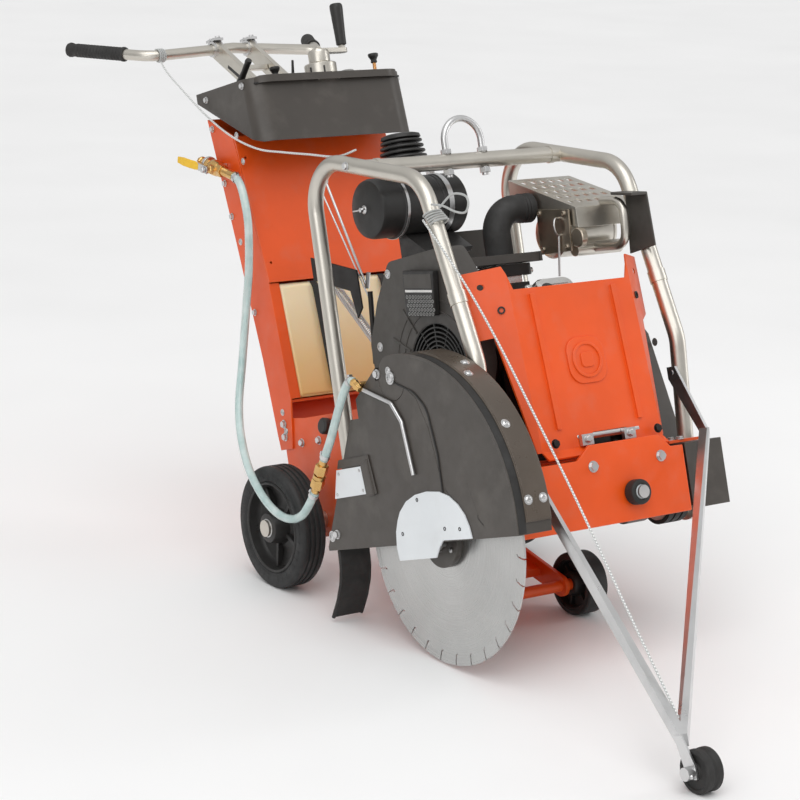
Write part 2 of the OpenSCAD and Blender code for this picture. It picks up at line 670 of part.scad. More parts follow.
module lift_crank() pitched() color(silver) translate([0, crank_y, 0]) {
  translate([0, 0, 1050]) cylinder(h = 106, r = 12);
  translate([0, 0, 1128.4]) cylinder(h = 30, r = 24);
  hull() {
    translate([0, 0, 1150]) cylinder(h = 9, r = 15, $fn = 32);
    translate([64, 0, 1158]) cylinder(h = 9, r = 11, $fn = 32);
  }
  translate([64, 0, 1160]) cylinder(h = 108, r = 5);
}
module crank_grip() pitched() color(black) translate([64, crank_y, 0]) difference() {
  union() {
    translate([0, 0, 1168]) cylinder(h = 88, r1 = 11, r2 = 15);
    translate([0, 0, 1256]) cylinder(h = 6, r1 = 15, r2 = 10);
  }
  translate([0, 0, 1160]) cylinder(h = 120, r = 5 + run);
}
module pull_knob(x, y, stem) pitched() {
  color(silver) translate([x, y, 1076]) cylinder(h = 28 + stem, r = 4);
  color(black) translate([x, y, 1104 + stem]) cylinder(h = 22, r = 12);
}
module throttle_knob() pull_knob(-100, 84, 6);
module choke_knob() pull_knob(150, 60, 22);

// ---- pointer ----

leg_top = 229;
elbow = [-788, 211];
module leg(s) {
  plate(s * leg_top - 3, 6) polygon([pointer_hinge + [-12, 12], pointer_hinge + [12, 12], pointer_hinge + [12, -12],
                                     elbow + [12, -6], elbow + [-12, -6]]);
  hull() {
    translate([s * leg_top - 3, elbow.x - 12, elbow.y - 10]) cube([6, 24, 12]);
    translate([tip_x - 22, tip.x + 20, tip.y + 42]) cube([18, 8, 22]);
  }
}
module pointer_frame() pitched() color(silver) {
  difference() {
    for (s = [-1, 1]) leg(s);
    for (s = [-1, 1]) rod_x(s * leg_top - 10, s * leg_top + 10, pointer_hinge, 6 + run);
  }
  plate(tip_x - 24, 4) polygon([tip + [-12, -12], tip + [12, -12], tip + [34, 64], tip + [14, 64], tip + [-12, 12]]);
  rod_x(tip_x - 20, tip_x + 19, tip, 6);
  rod_x(tip_x - 40, tip_x - 24, tip, 12);
}
module pointer_wheel() pitched() color(black) difference() {
  union() {
    rod_x(tip_x - 19, tip_x - 2, tip, tip_wheel_r);
    rod_x(tip_x - 2, tip_x + 2, tip, tip_wheel_r - 6);
    rod_x(tip_x + 2, tip_x + 18, tip, tip_wheel_r);
  }
  rod_x(tip_x - 30, tip_x + 30, tip, 6 + run);
}

// ---- fasteners ----

module fasteners() pitched() color(silver) {
  both_sides() {
    for (p = [[96, 346], [98, 318]]) bolt_x(-column_x, p);
    for (p = [[218, 1022], [198, 896], [188, 820], [150, 600]]) bolt_x(-column_x, p, -1, 4);
    rod_x(leg_top - 4, hoop_x - hoop_r, pointer_hinge, 6);
    for (y = [60, 220]) bolt_x(-console_x, [y, 1088], -1, 4);
  }
  for (x = [-60, 110]) bolt_y(x, -785, 172, 6);
  translate([roller_x, -785, 110]) rotate([90, 0, 0]) {
    cylinder(h = 28, r = 8);
    translate([0, 0, 28]) cylinder(h = 5, r = 13);
  }
  for (p = [[-292, 105], [-520, 410]]) bolt_x(-guard_out, p, -1, 5);
}

chassis_frame();
front_beam();
rear_axle();
belt_guard();
drive_belts();
column();
column_cover();
fuel_tank();
console();
console_panel();
hoop_right();
hoop_left();
cross_tube();
lifting_eye();
front_cover();
engine_block();
rocker_covers();
fan_housing();
air_filter();
intake_elbow();
precleaner();
muffler();
muffler_guard();
shaft_bearings();
guard_rear();
flange_cover();
guard_plate();
water_pipe();
mud_flap();
guard_tee();
water_valve();
fasteners();
hose_long();
hose_coupling();
hose_short();
rope_rear();
rope_front();
blade_shaft();
blade();
blade_flanges();
engine_pulley();
guard_front();
lift_arm();
front_wheel_right();
front_wheel_left();
rear_wheel_right();
rear_tyre_right();
rear_wheel_left();
rear_tyre_left();
bumper_roller();
handlebar();
handle_grips();
clamp_lever();
lift_crank();
crank_grip();
throttle_knob();
choke_knob();
valve_lever();
pointer_frame();
pointer_wheel();
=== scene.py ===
"""Looks of the walk-behind concrete saw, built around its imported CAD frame.

New pieces are drawn in millimetres on the level chassis: X towards the saw's left side,
Y to the rear, Z up, from the floor under the rear axle. LEVEL pitches them about that
axle into the row frame, as the saw stands on its lift arm.
"""
import json
import math

import bmesh
import bpy
from mathutils import Matrix, Vector
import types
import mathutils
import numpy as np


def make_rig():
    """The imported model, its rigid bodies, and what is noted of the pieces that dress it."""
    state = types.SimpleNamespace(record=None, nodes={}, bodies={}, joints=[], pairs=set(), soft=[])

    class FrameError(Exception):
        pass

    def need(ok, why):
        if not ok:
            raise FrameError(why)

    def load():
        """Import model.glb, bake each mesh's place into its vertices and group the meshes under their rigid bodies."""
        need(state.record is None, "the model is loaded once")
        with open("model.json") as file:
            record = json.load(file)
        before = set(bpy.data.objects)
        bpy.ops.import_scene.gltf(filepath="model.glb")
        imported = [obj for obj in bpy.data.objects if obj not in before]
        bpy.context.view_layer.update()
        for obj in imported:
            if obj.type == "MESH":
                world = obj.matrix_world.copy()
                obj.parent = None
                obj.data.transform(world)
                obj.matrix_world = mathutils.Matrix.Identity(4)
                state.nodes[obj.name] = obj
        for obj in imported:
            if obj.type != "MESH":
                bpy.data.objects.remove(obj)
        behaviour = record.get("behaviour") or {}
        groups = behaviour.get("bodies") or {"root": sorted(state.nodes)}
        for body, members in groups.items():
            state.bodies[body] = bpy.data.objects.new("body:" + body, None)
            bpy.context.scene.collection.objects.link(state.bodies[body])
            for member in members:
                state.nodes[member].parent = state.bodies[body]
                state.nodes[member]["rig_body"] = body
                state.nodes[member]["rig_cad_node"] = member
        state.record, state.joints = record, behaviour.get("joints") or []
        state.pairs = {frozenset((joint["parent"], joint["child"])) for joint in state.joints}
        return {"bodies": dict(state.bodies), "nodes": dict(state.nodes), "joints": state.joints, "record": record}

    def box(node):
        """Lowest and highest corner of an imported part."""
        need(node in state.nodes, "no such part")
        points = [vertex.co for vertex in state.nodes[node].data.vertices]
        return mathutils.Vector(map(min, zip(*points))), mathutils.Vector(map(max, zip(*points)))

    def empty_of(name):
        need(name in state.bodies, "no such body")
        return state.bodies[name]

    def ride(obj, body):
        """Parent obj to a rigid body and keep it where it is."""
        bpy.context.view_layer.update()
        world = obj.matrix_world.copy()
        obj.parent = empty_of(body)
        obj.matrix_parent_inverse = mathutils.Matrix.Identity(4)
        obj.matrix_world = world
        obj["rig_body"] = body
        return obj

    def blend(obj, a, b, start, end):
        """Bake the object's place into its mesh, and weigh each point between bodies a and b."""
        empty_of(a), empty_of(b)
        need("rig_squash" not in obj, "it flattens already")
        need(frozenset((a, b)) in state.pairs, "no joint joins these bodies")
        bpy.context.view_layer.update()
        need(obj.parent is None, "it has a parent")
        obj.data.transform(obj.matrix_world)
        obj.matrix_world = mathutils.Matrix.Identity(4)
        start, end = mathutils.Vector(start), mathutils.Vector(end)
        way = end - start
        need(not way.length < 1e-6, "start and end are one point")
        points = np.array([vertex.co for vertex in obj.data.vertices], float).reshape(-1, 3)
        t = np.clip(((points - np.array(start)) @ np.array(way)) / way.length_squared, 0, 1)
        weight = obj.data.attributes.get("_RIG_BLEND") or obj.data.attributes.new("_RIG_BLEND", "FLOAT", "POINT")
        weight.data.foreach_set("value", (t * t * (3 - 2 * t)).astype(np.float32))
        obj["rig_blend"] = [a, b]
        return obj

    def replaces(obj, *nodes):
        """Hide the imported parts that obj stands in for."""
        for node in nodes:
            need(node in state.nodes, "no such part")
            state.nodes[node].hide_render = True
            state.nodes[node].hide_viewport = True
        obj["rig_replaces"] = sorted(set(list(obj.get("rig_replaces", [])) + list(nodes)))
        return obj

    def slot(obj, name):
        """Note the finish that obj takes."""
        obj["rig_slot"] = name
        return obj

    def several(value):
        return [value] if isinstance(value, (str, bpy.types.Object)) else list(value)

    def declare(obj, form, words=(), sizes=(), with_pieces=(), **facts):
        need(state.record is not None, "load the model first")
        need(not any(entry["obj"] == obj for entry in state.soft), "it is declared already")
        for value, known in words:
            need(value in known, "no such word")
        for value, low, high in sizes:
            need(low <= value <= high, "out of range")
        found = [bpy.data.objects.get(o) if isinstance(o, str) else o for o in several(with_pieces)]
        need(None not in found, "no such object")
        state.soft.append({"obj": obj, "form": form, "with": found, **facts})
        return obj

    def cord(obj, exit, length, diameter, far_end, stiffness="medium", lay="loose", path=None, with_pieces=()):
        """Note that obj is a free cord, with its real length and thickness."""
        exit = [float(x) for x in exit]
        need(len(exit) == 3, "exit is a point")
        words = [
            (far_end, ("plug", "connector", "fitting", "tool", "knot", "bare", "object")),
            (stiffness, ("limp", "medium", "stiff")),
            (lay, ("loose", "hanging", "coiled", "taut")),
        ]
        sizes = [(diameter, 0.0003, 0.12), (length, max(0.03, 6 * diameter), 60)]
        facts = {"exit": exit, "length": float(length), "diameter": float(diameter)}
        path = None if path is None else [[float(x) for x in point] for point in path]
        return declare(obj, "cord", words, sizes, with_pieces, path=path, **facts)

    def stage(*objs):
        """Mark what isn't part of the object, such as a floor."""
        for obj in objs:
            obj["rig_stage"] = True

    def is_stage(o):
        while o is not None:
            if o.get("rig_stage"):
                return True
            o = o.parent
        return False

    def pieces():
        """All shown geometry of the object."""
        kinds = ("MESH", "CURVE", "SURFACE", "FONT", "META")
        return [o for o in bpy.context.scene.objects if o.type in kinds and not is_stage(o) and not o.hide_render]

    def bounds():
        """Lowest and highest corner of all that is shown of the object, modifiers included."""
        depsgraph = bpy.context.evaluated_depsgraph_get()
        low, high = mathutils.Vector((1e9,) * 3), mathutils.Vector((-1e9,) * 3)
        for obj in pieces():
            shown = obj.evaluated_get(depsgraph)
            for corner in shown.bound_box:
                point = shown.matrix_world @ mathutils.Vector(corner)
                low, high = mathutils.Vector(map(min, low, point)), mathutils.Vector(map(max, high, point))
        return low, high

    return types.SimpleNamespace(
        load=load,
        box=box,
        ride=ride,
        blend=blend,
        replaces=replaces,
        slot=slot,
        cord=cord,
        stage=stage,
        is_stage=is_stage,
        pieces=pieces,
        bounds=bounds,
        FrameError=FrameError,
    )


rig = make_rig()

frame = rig.load()
CAD_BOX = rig.bounds()

# ---- where the level chassis lies in the row frame ----

tyre_low, tyre_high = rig.box("rear_tyre_left")
AXLE = (tyre_low + tyre_high) / 2
MIDDLE = (tyre_high.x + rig.box("rear_tyre_right")[0].x) / 2
PITCH = math.radians(17)
MM = 0.001
LEVEL = (
    Matrix.Translation((MIDDLE, AXLE.y, AXLE.z))
    @ Matrix.Rotation(-PITCH, 4, "X")
    @ Matrix.Translation((0, 0, -AXLE.z))
    @ Matrix.Scale(MM, 4)
)
AXLE_Z = AXLE.z / MM


def at(point):
    """A point of the level chassis in millimetres, as a point of the row frame in metres."""
    return LEVEL @ Vector(point)


def level(y, z):
    """A point (y, z) above the level floor, expressed on the pitched chassis."""
    c, s = math.cos(PITCH), math.sin(PITCH)
    return (y * c - (z - AXLE_Z) * s, y * s + (z - AXLE_Z) * c + AXLE_Z)


# Reference points that part.scad uses too, as (y, z)
SHAFT = (-606, 77)
CRANK = (-526, 400)
GUARD_CENTRE = (-578, 112)
GUARD_HINGE = (-566, 398)
FILTER = (-343, 752)
FRONT_AXLE = level(-480, 66)
TIP = level(-1357, 39)
HINGE = (262, 1122)
VALVE = (185, 928.4)

# ---- camera ----

CAMERA_FROM_AXLE = Vector((-3.01933, -4.31913, 1.61667))
YAW, DOWN, ROLL = 0.610, 0.232, 0.023


def make_camera():
    data = bpy.data.cameras.new("camera")
    data.lens = 111.86
    data.sensor_width = 36.0
    camera = bpy.data.objects.new("camera", data)
    bpy.context.scene.collection.objects.link(camera)
    look_dir = Vector((math.sin(YAW) * math.cos(DOWN), math.cos(YAW) * math.cos(DOWN), -math.sin(DOWN)))
    right = Vector((math.cos(YAW), -math.sin(YAW), 0))
    up = right.cross(look_dir)
    turned = (
        right * math.cos(ROLL) + up * math.sin(ROLL),
        up * math.cos(ROLL) - right * math.sin(ROLL),
        -look_dir,
    )
    camera.matrix_world = Matrix.Translation(
        Vector((MIDDLE, AXLE.y, 0)) + CAMERA_FROM_AXLE
    ) @ Matrix(turned).transposed().to_4x4()
    bpy.context.scene.camera = camera


make_camera()

# ---- materials ----


class Look:
    """A node material. Its textures read object coordinates, which are metres in the row frame."""

    def __init__(self, name, rough, metal=0.0, **sockets):
        self.mat = bpy.data.materials.new(name)
        self.mat.use_nodes = True
        self.tree = self.mat.node_tree
        self.tree.nodes.clear()
        self.out = self.node("ShaderNodeOutputMaterial")
        self.shader = self.node("ShaderNodeBsdfPrincipled")
        self.tree.links.new(self.shader.outputs["BSDF"], self.out.inputs["Surface"])
        self.shader.inputs["Roughness"].default_value = rough
        self.shader.inputs["Metallic"].default_value = metal
        for key, value in sockets.items():
            self.shader.inputs[key.replace("_", " ")].default_value = value
        self.coords = self.node("ShaderNodeTexCoord").outputs["Object"]
        self.normal = None

    def node(self, kind, **settings):
        made = self.tree.nodes.new(kind)
        for key, value in settings.items():
            setattr(made, key, value)
        return made

    def link(self, source, target):
        self.tree.links.new(source, target)

    def noise(self, scale, detail=3.0, stretch=(1, 1, 1), roughness=0.55):
        """Noise whose features are about 1 / scale metres across."""
        mapping = self.node("ShaderNodeMapping")
        mapping.inputs["Scale"].default_value = stretch
        self.link(self.coords, mapping.inputs["Vector"])
        made = self.node("ShaderNodeTexNoise")
        made.inputs["Scale"].default_value = scale
        made.inputs["Detail"].default_value = detail
        made.inputs["Roughness"].default_value = roughness
        self.link(mapping.outputs["Vector"], made.inputs["Vector"])
        return made.outputs["Fac"]

    def ramp(self, fac, stops):
        made = self.node("ShaderNodeValToRGB")
        ramp = made.color_ramp
        while len(ramp.elements) < len(stops):
            ramp.elements.new(0.5)
        for element, (place, colour) in zip(ramp.elements, stops):
            element.position = place
            element.color = (*colour, 1) if len(colour) == 3 else colour
        self.link(fac, made.inputs["Fac"])
        return made.outputs["Color"]

    def levels(self, fac, low, high, to_low, to_high):
        made = self.node("ShaderNodeMapRange")
        for key, value in (("From Min", low), ("From Max", high), ("To Min", to_low), ("To Max", to_high)):
            made.inputs[key].default_value = value
        self.link(fac, made.inputs["Value"])
        return made.outputs["Result"]

    def mix(self, fac, a, b):
        made = self.node("ShaderNodeMix", data_type="RGBA")
        self.link(fac, made.inputs["Factor"])
        for key, value in ((6, a), (7, b)):
            if isinstance(value, tuple):
                made.inputs[key].default_value = (*value, 1)
            else:
                self.link(value, made.inputs[key])
        return made.outputs[2]

    def math(self, kind, a, b):
        made = self.node("ShaderNodeMath", operation=kind)
        for key, value in ((0, a), (1, b)):
            if isinstance(value, (int, float)):
                made.inputs[key].default_value = value
            else:
                self.link(value, made.inputs[key])
        return made.outputs[0]

    def edges(self, radius):
        """Near 1 on an edge that is rounder than its face, and 0 on the face."""
        soft = self.node("ShaderNodeBevel", samples=3)
        soft.inputs["Radius"].default_value = radius
        flat = self.node("ShaderNodeNewGeometry").outputs["Normal"]
        dot = self.node("ShaderNodeVectorMath", operation="DOT_PRODUCT")
        self.link(soft.outputs["Normal"], dot.inputs[0])
        self.link(flat, dot.inputs[1])
        return self.levels(dot.outputs["Value"], 0.97, 0.80, 0.0, 1.0)

    def bump(self, height, strength, depth):
        made = self.node("ShaderNodeBump")
        made.inputs["Strength"].default_value = strength
        made.inputs["Distance"].default_value = depth
        self.link(height, made.inputs["Height"])
        if self.normal is not None:
            self.link(self.normal, made.inputs["Normal"])
        self.normal = made.outputs["Normal"]
        self.link(self.normal, self.shader.inputs["Normal"])

    def colour(self, socket):
        self.link(socket, self.shader.inputs["Base Color"])

    def roughness(self, socket):
        self.link(socket, self.shader.inputs["Roughness"])


def shade(colour, factor):
    return tuple(min(1.0, c * factor) for c in colour)


def toned(look, colour, tone, scale=7.0):
    """Base colour that drifts a little over the surface."""
    return look.ramp(look.noise(scale, 4), [(0.32, shade(colour, 1 - tone)), (0.68, shade(colour, 1 + tone))])


def paint(name, colour, rough, tone=0.05, edge=None, dust=(0.35, 0.32, 0.28)):
    """Powder coat: orange peel, faint handling dust, and a lighter line along its edges."""
    look = Look(name, rough, Coat_Weight=0.12, Coat_Roughness=0.25)
    base = toned(look, colour, tone)
    film = look.levels(look.noise(16, 6), 0.52, 0.78, 0.0, 0.10)
    base = look.mix(film, base, dust)
    line = look.math("MULTIPLY", look.edges(0.0016), look.levels(look.noise(60, 3), 0.35, 0.65, 0.15, 0.6))
    look.colour(look.mix(line, base, edge or shade(colour, 1.35)))
    look.roughness(look.levels(look.noise(30, 4), 0.3, 0.7, rough - 0.06, rough + 0.10))
    look.bump(look.noise(420, 2), 0.10, 0.0004)
    return look.mat


def metal(name, colour, rough, tone=0.10, stretch=(1, 1, 1), grain=500.0, bump=0.08, smudge=0.12, stain=0.35):
    """Bare or plated metal with drawn or cast grain, and smudges that change its gloss."""
    look = Look(name, rough, metal=1.0)
    base = toned(look, colour, tone, 11)
    dark = look.levels(look.noise(24, 5), 0.55, 0.8, 0.0, stain)
    look.colour(look.mix(dark, base, shade(colour, 0.55)))
    look.roughness(look.levels(look.noise(18, 5), 0.3, 0.7, max(0.05, rough - smudge), rough + smudge))
    look.bump(look.noise(grain, 3, stretch), bump, 0.0003)
    return look.mat


def plastic(name, colour, rough, tone=0.12, grain=1300.0, bump=0.12, scuff=0.12, **sockets):
    """Moulded plastic or rubber: fine grain, and paler scuffs in patches."""
    look = Look(name, rough, **sockets)
    base = toned(look, colour, tone)
    patch = look.levels(look.noise(26, 6), 0.5, 0.8, 0.0, scuff)
    pale = tuple(c * 0.6 + 0.10 for c in colour)
    line = look.math("MULTIPLY", look.edges(0.0012), 0.35)
    look.colour(look.mix(line, look.mix(patch, base, pale), tuple(c * 1.2 + 0.03 for c in colour)))
    look.roughness(look.levels(look.noise(40, 4), 0.3, 0.7, rough - 0.08, rough + 0.10))
    look.bump(look.noise(grain, 2), bump, 0.0003)
    return look.mat


def tank_look():
    """Milky fuel tank: lit through its wall, darker where the fuel stands."""
    colour = (0.86, 0.66, 0.38)
    look = Look("cream_tank", 0.38, Subsurface_Weight=0.45, Subsurface_Scale=0.02)
    look.shader.inputs["Subsurface Radius"].default_value = (1.0, 0.6, 0.3)
    height = look.node("ShaderNodeSeparateXYZ")
    look.link(look.coords, height.inputs[0])
    low = at((0, 90, 420)).z
    ripple = look.levels(look.noise(14, 3), 0, 1, -0.01, 0.01)
    fuel = look.levels(look.math("ADD", height.outputs["Z"], ripple),
                       low, low + 0.19, 0.0, 1.0)
    base = look.ramp(fuel, [(0.0, (0.80, 0.46, 0.17)), (0.35, (0.83, 0.56, 0.27)), (1.0, (0.90, 0.74, 0.50))])
    drift = look.levels(look.noise(9, 4), 0.3, 0.7, 0.0, 0.18)
    look.colour(look.mix(drift, base, colour))
    look.roughness(look.levels(look.noise(35, 4), 0.3, 0.7, 0.30, 0.46))
    look.bump(look.noise(700, 3), 0.10, 0.0004)
    return look.mat


def hose_look():
    """Clear braided PVC with the white of the water film inside it."""
    look = Look("clear_hose", 0.16, Transmission_Weight=0.30, IOR=1.45, Coat_Weight=0.5, Coat_Roughness=0.1)
    base = look.ramp(look.noise(30, 4), [(0.3, (0.50, 0.68, 0.66)), (0.7, (0.78, 0.90, 0.88))])
    look.colour(base)
    look.roughness(look.levels(look.noise(60, 3), 0.3, 0.7, 0.10, 0.26))
    look.bump(look.noise(900, 2, (1, 1, 0.3)), 0.10, 0.0004)
    return look.mat


def rope_look():
    """White braid: crossing diagonal strands, drawn in the rope's own length and turn."""
    look = Look("rope_white", 0.7, Sheen_Weight=0.3)
    uv = look.node("ShaderNodeTexCoord").outputs["UV"]
    heights = []
    for slant in (1, -1):
        mapping = look.node("ShaderNodeMapping")
        mapping.inputs["Rotation"].default_value = (0, 0, math.radians(40 * slant))
        look.link(uv, mapping.inputs["Vector"])
        wave = look.node("ShaderNodeTexWave")
        wave.inputs["Scale"].default_value = 60
        look.link(mapping.outputs["Vector"], wave.inputs["Vector"])
        heights.append(wave.outputs["Fac"])
    braid = look.math("MULTIPLY", *heights)
    look.colour(look.ramp(braid, [(0.0, (0.42, 0.43, 0.42)), (0.5, (0.86, 0.87, 0.86))]))
    look.roughness(look.levels(look.noise(60, 3), 0.3, 0.7, 0.6, 0.85))
    look.bump(braid, 0.5, 0.0006)
    return look.mat


def blade_look():
    """Ground steel: rings of fine grinding round the arbor, and a sheen across them."""
    look = Look("blade_steel", 0.30, metal=1.0, Anisotropic=0.75)
    centre = at((-300, *SHAFT))
    offset = look.node("ShaderNodeVectorMath", operation="SUBTRACT")
    look.link(look.coords, offset.inputs[0])
    offset.inputs[1].default_value = centre
    reach = look.node("ShaderNodeVectorMath", operation="LENGTH")
    look.link(offset.outputs[0], reach.inputs[0])
    rings = look.node("ShaderNodeTexNoise", noise_dimensions="1D")
    rings.inputs["Scale"].default_value = 900
    rings.inputs["Detail"].default_value = 4
    look.link(reach.outputs["Value"], rings.inputs["W"])
    base = toned(look, (0.60, 0.60, 0.59), 0.06, 9)
    look.colour(look.mix(look.levels(rings.outputs["Fac"], 0.3, 0.7, 0.0, 0.35), base, (0.36, 0.36, 0.355)))
    look.roughness(look.levels(rings.outputs["Fac"], 0.3, 0.7, 0.24, 0.40))
    look.bump(rings.outputs["Fac"], 0.12, 0.0002)
    tangent = look.node("ShaderNodeTangent", direction_type="RADIAL", axis="X")
    look.link(tangent.outputs["Tangent"], look.shader.inputs["Tangent"])
    return look.mat


ORANGE = (0.78, 0.085, 0.004)
DARK = (0.055, 0.047, 0.040)
LOOKS = {
    "orange": paint("orange", ORANGE, 0.38, tone=0.06, edge=(0.95, 0.25, 0.06)),
    "dark_paint": paint("dark_paint", DARK, 0.42, tone=0.10, edge=(0.20, 0.18, 0.16)),
    "white_metal": paint("white_metal", (0.74, 0.77, 0.79), 0.35, tone=0.04, edge=(0.9, 0.9, 0.9)),
    "black_metal": metal("black_metal", (0.045, 0.043, 0.042), 0.42, grain=900, bump=0.25),
    "silver_metal": metal("silver_metal", (0.63, 0.60, 0.54), 0.36, tone=0.05, grain=260, stretch=(1, 1, 0.15),
                          bump=0.04, smudge=0.04, stain=0.12),
    "bright_alloy": metal("bright_alloy", (0.72, 0.71, 0.69), 0.26, grain=700, bump=0.12),
    "zinc": metal("zinc", (0.66, 0.66, 0.66), 0.33, tone=0.06, grain=500, bump=0.05, smudge=0.06, stain=0.2),
    "blade_steel": blade_look(),
    "black_plastic": plastic("black_plastic", (0.022, 0.021, 0.020), 0.45),
    "black_rubber": plastic("black_rubber", (0.020, 0.019, 0.018), 0.66, bump=0.2, scuff=0.2),
    "tyre": plastic("tyre", (0.018, 0.018, 0.018), 0.62, grain=800, bump=0.25, scuff=0.25),
    "cream_plastic": tank_look(),
    "brass": metal("brass", (0.72, 0.45, 0.17), 0.25, grain=700, bump=0.10),
    "yellow_plastic": plastic("yellow_plastic", (0.83, 0.50, 0.02), 0.32, tone=0.08),
    "clear_hose": hose_look(),
    "rope_white": rope_look(),
}
# Finishes that the record has no slot of its own for
SHROUD = plastic("shroud_grey", (0.062, 0.056, 0.050), 0.48, tone=0.08)
TAN_STEEL = metal("heat_tinted_steel", (0.47, 0.41, 0.33), 0.36, grain=300, bump=0.08)
BRONZE = metal("bronze_stem", (0.60, 0.30, 0.12), 0.3)
FENDER = paint("fender_brown", (0.085, 0.066, 0.050), 0.30, tone=0.12, edge=(0.24, 0.20, 0.17))
GREY_CAP = plastic("grey_plastic", (0.30, 0.30, 0.29), 0.45)

# ---- mesh tools, in millimetres on the level chassis ----


def along(point, direction, across=(0, 0, 1)):
    """Places local Z along a direction at a point, with local X as near across as it can be."""
    z = Vector(direction).normalized()
    x = Vector(across) - z * Vector(across).dot(z)
    if x.length < 1e-3:
        x = Vector((0, 1, 0)) - z * z.y
    x.normalize()
    y = z.cross(x)
    return Matrix.Translation(point) @ Matrix((x, y, z)).transposed().to_4x4()


def on_x(x, p):
    """Local Z along +X, from the point p = (y, z) at x."""
    return along((x, *p), (1, 0, 0))


def on_left(x, p):
    """Local Z along -X, for what faces the blade side."""
    return along((x, *p), (-1, 0, 0))


def side_plane(x):
    """Outline (u, v) is (y, z), and thickness goes along +X from x."""
    return Matrix(((0, 0, 1, x), (1, 0, 0, 0), (0, 1, 0, 0), (0, 0, 0, 1)))


def front_plane(y):
    """Outline (u, v) is (x, z), and thickness goes forwards from y."""
    return Matrix(((1, 0, 0, 0), (0, 0, -1, y), (0, 1, 0, 0), (0, 0, 0, 1)))


def flat_plane(z):
    return Matrix.Translation((0, 0, z))


def arc(centre, r, start, end, steps):
    """Points (u, v) on a circle, from one angle to another in degrees."""
    turn = [math.radians(start + (end - start) * i / steps) for i in range(steps + 1)]
    return [(centre[0] + r * math.cos(t), centre[1] + r * math.sin(t)) for t in turn]


def rounded_box(width, height, r, steps=5):
    """Outline of a rectangle about the origin with round corners."""
    points = []
    for i, (sx, sy) in enumerate(((1, 1), (-1, 1), (-1, -1), (1, -1))):
        centre = (sx * (width / 2 - r), sy * (height / 2 - r))
        points += arc(centre, r, 90 * i, 90 * i + 90, steps)
    return points


def rounded(points, bend, steps=6):
    """A path with its inner corners turned into bends."""
    path = [Vector(p) for p in points]
    made = [path[0]]
    for before, corner, after in zip(path, path[1:], path[2:]):
        a, b = (before - corner).normalized(), (after - corner).normalized()
        half = a.angle(b) / 2
        cut = min(bend / math.tan(half), (before - corner).length * 0.49, (after - corner).length * 0.49)
        start, end = corner + a * cut, corner + b * cut
        for i in range(steps + 1):
            t = i / steps
            made.append((1 - t) ** 2 * start + 2 * t * (1 - t) * corner + t ** 2 * end)
    return made + [path[-1]]


def smooth_route(route, steps):
    """Catmull-Rom curve through route points, as part.scad's cords take it."""
    p = [Vector(q) for q in route]
    made = []
    for i in range(len(p) - 1):
        a, b, c, d = p[max(i - 1, 0)], p[i], p[i + 1], p[min(i + 2, len(p) - 1)]
        for k in range(steps):
            t = k / steps
            made.append(0.5 * (2 * b + (c - a) * t + (2 * a - 5 * b + 4 * c - d) * t * t
                               + (3 * b - a - 3 * c + d) * t ** 3))
    return made + [p[-1]]


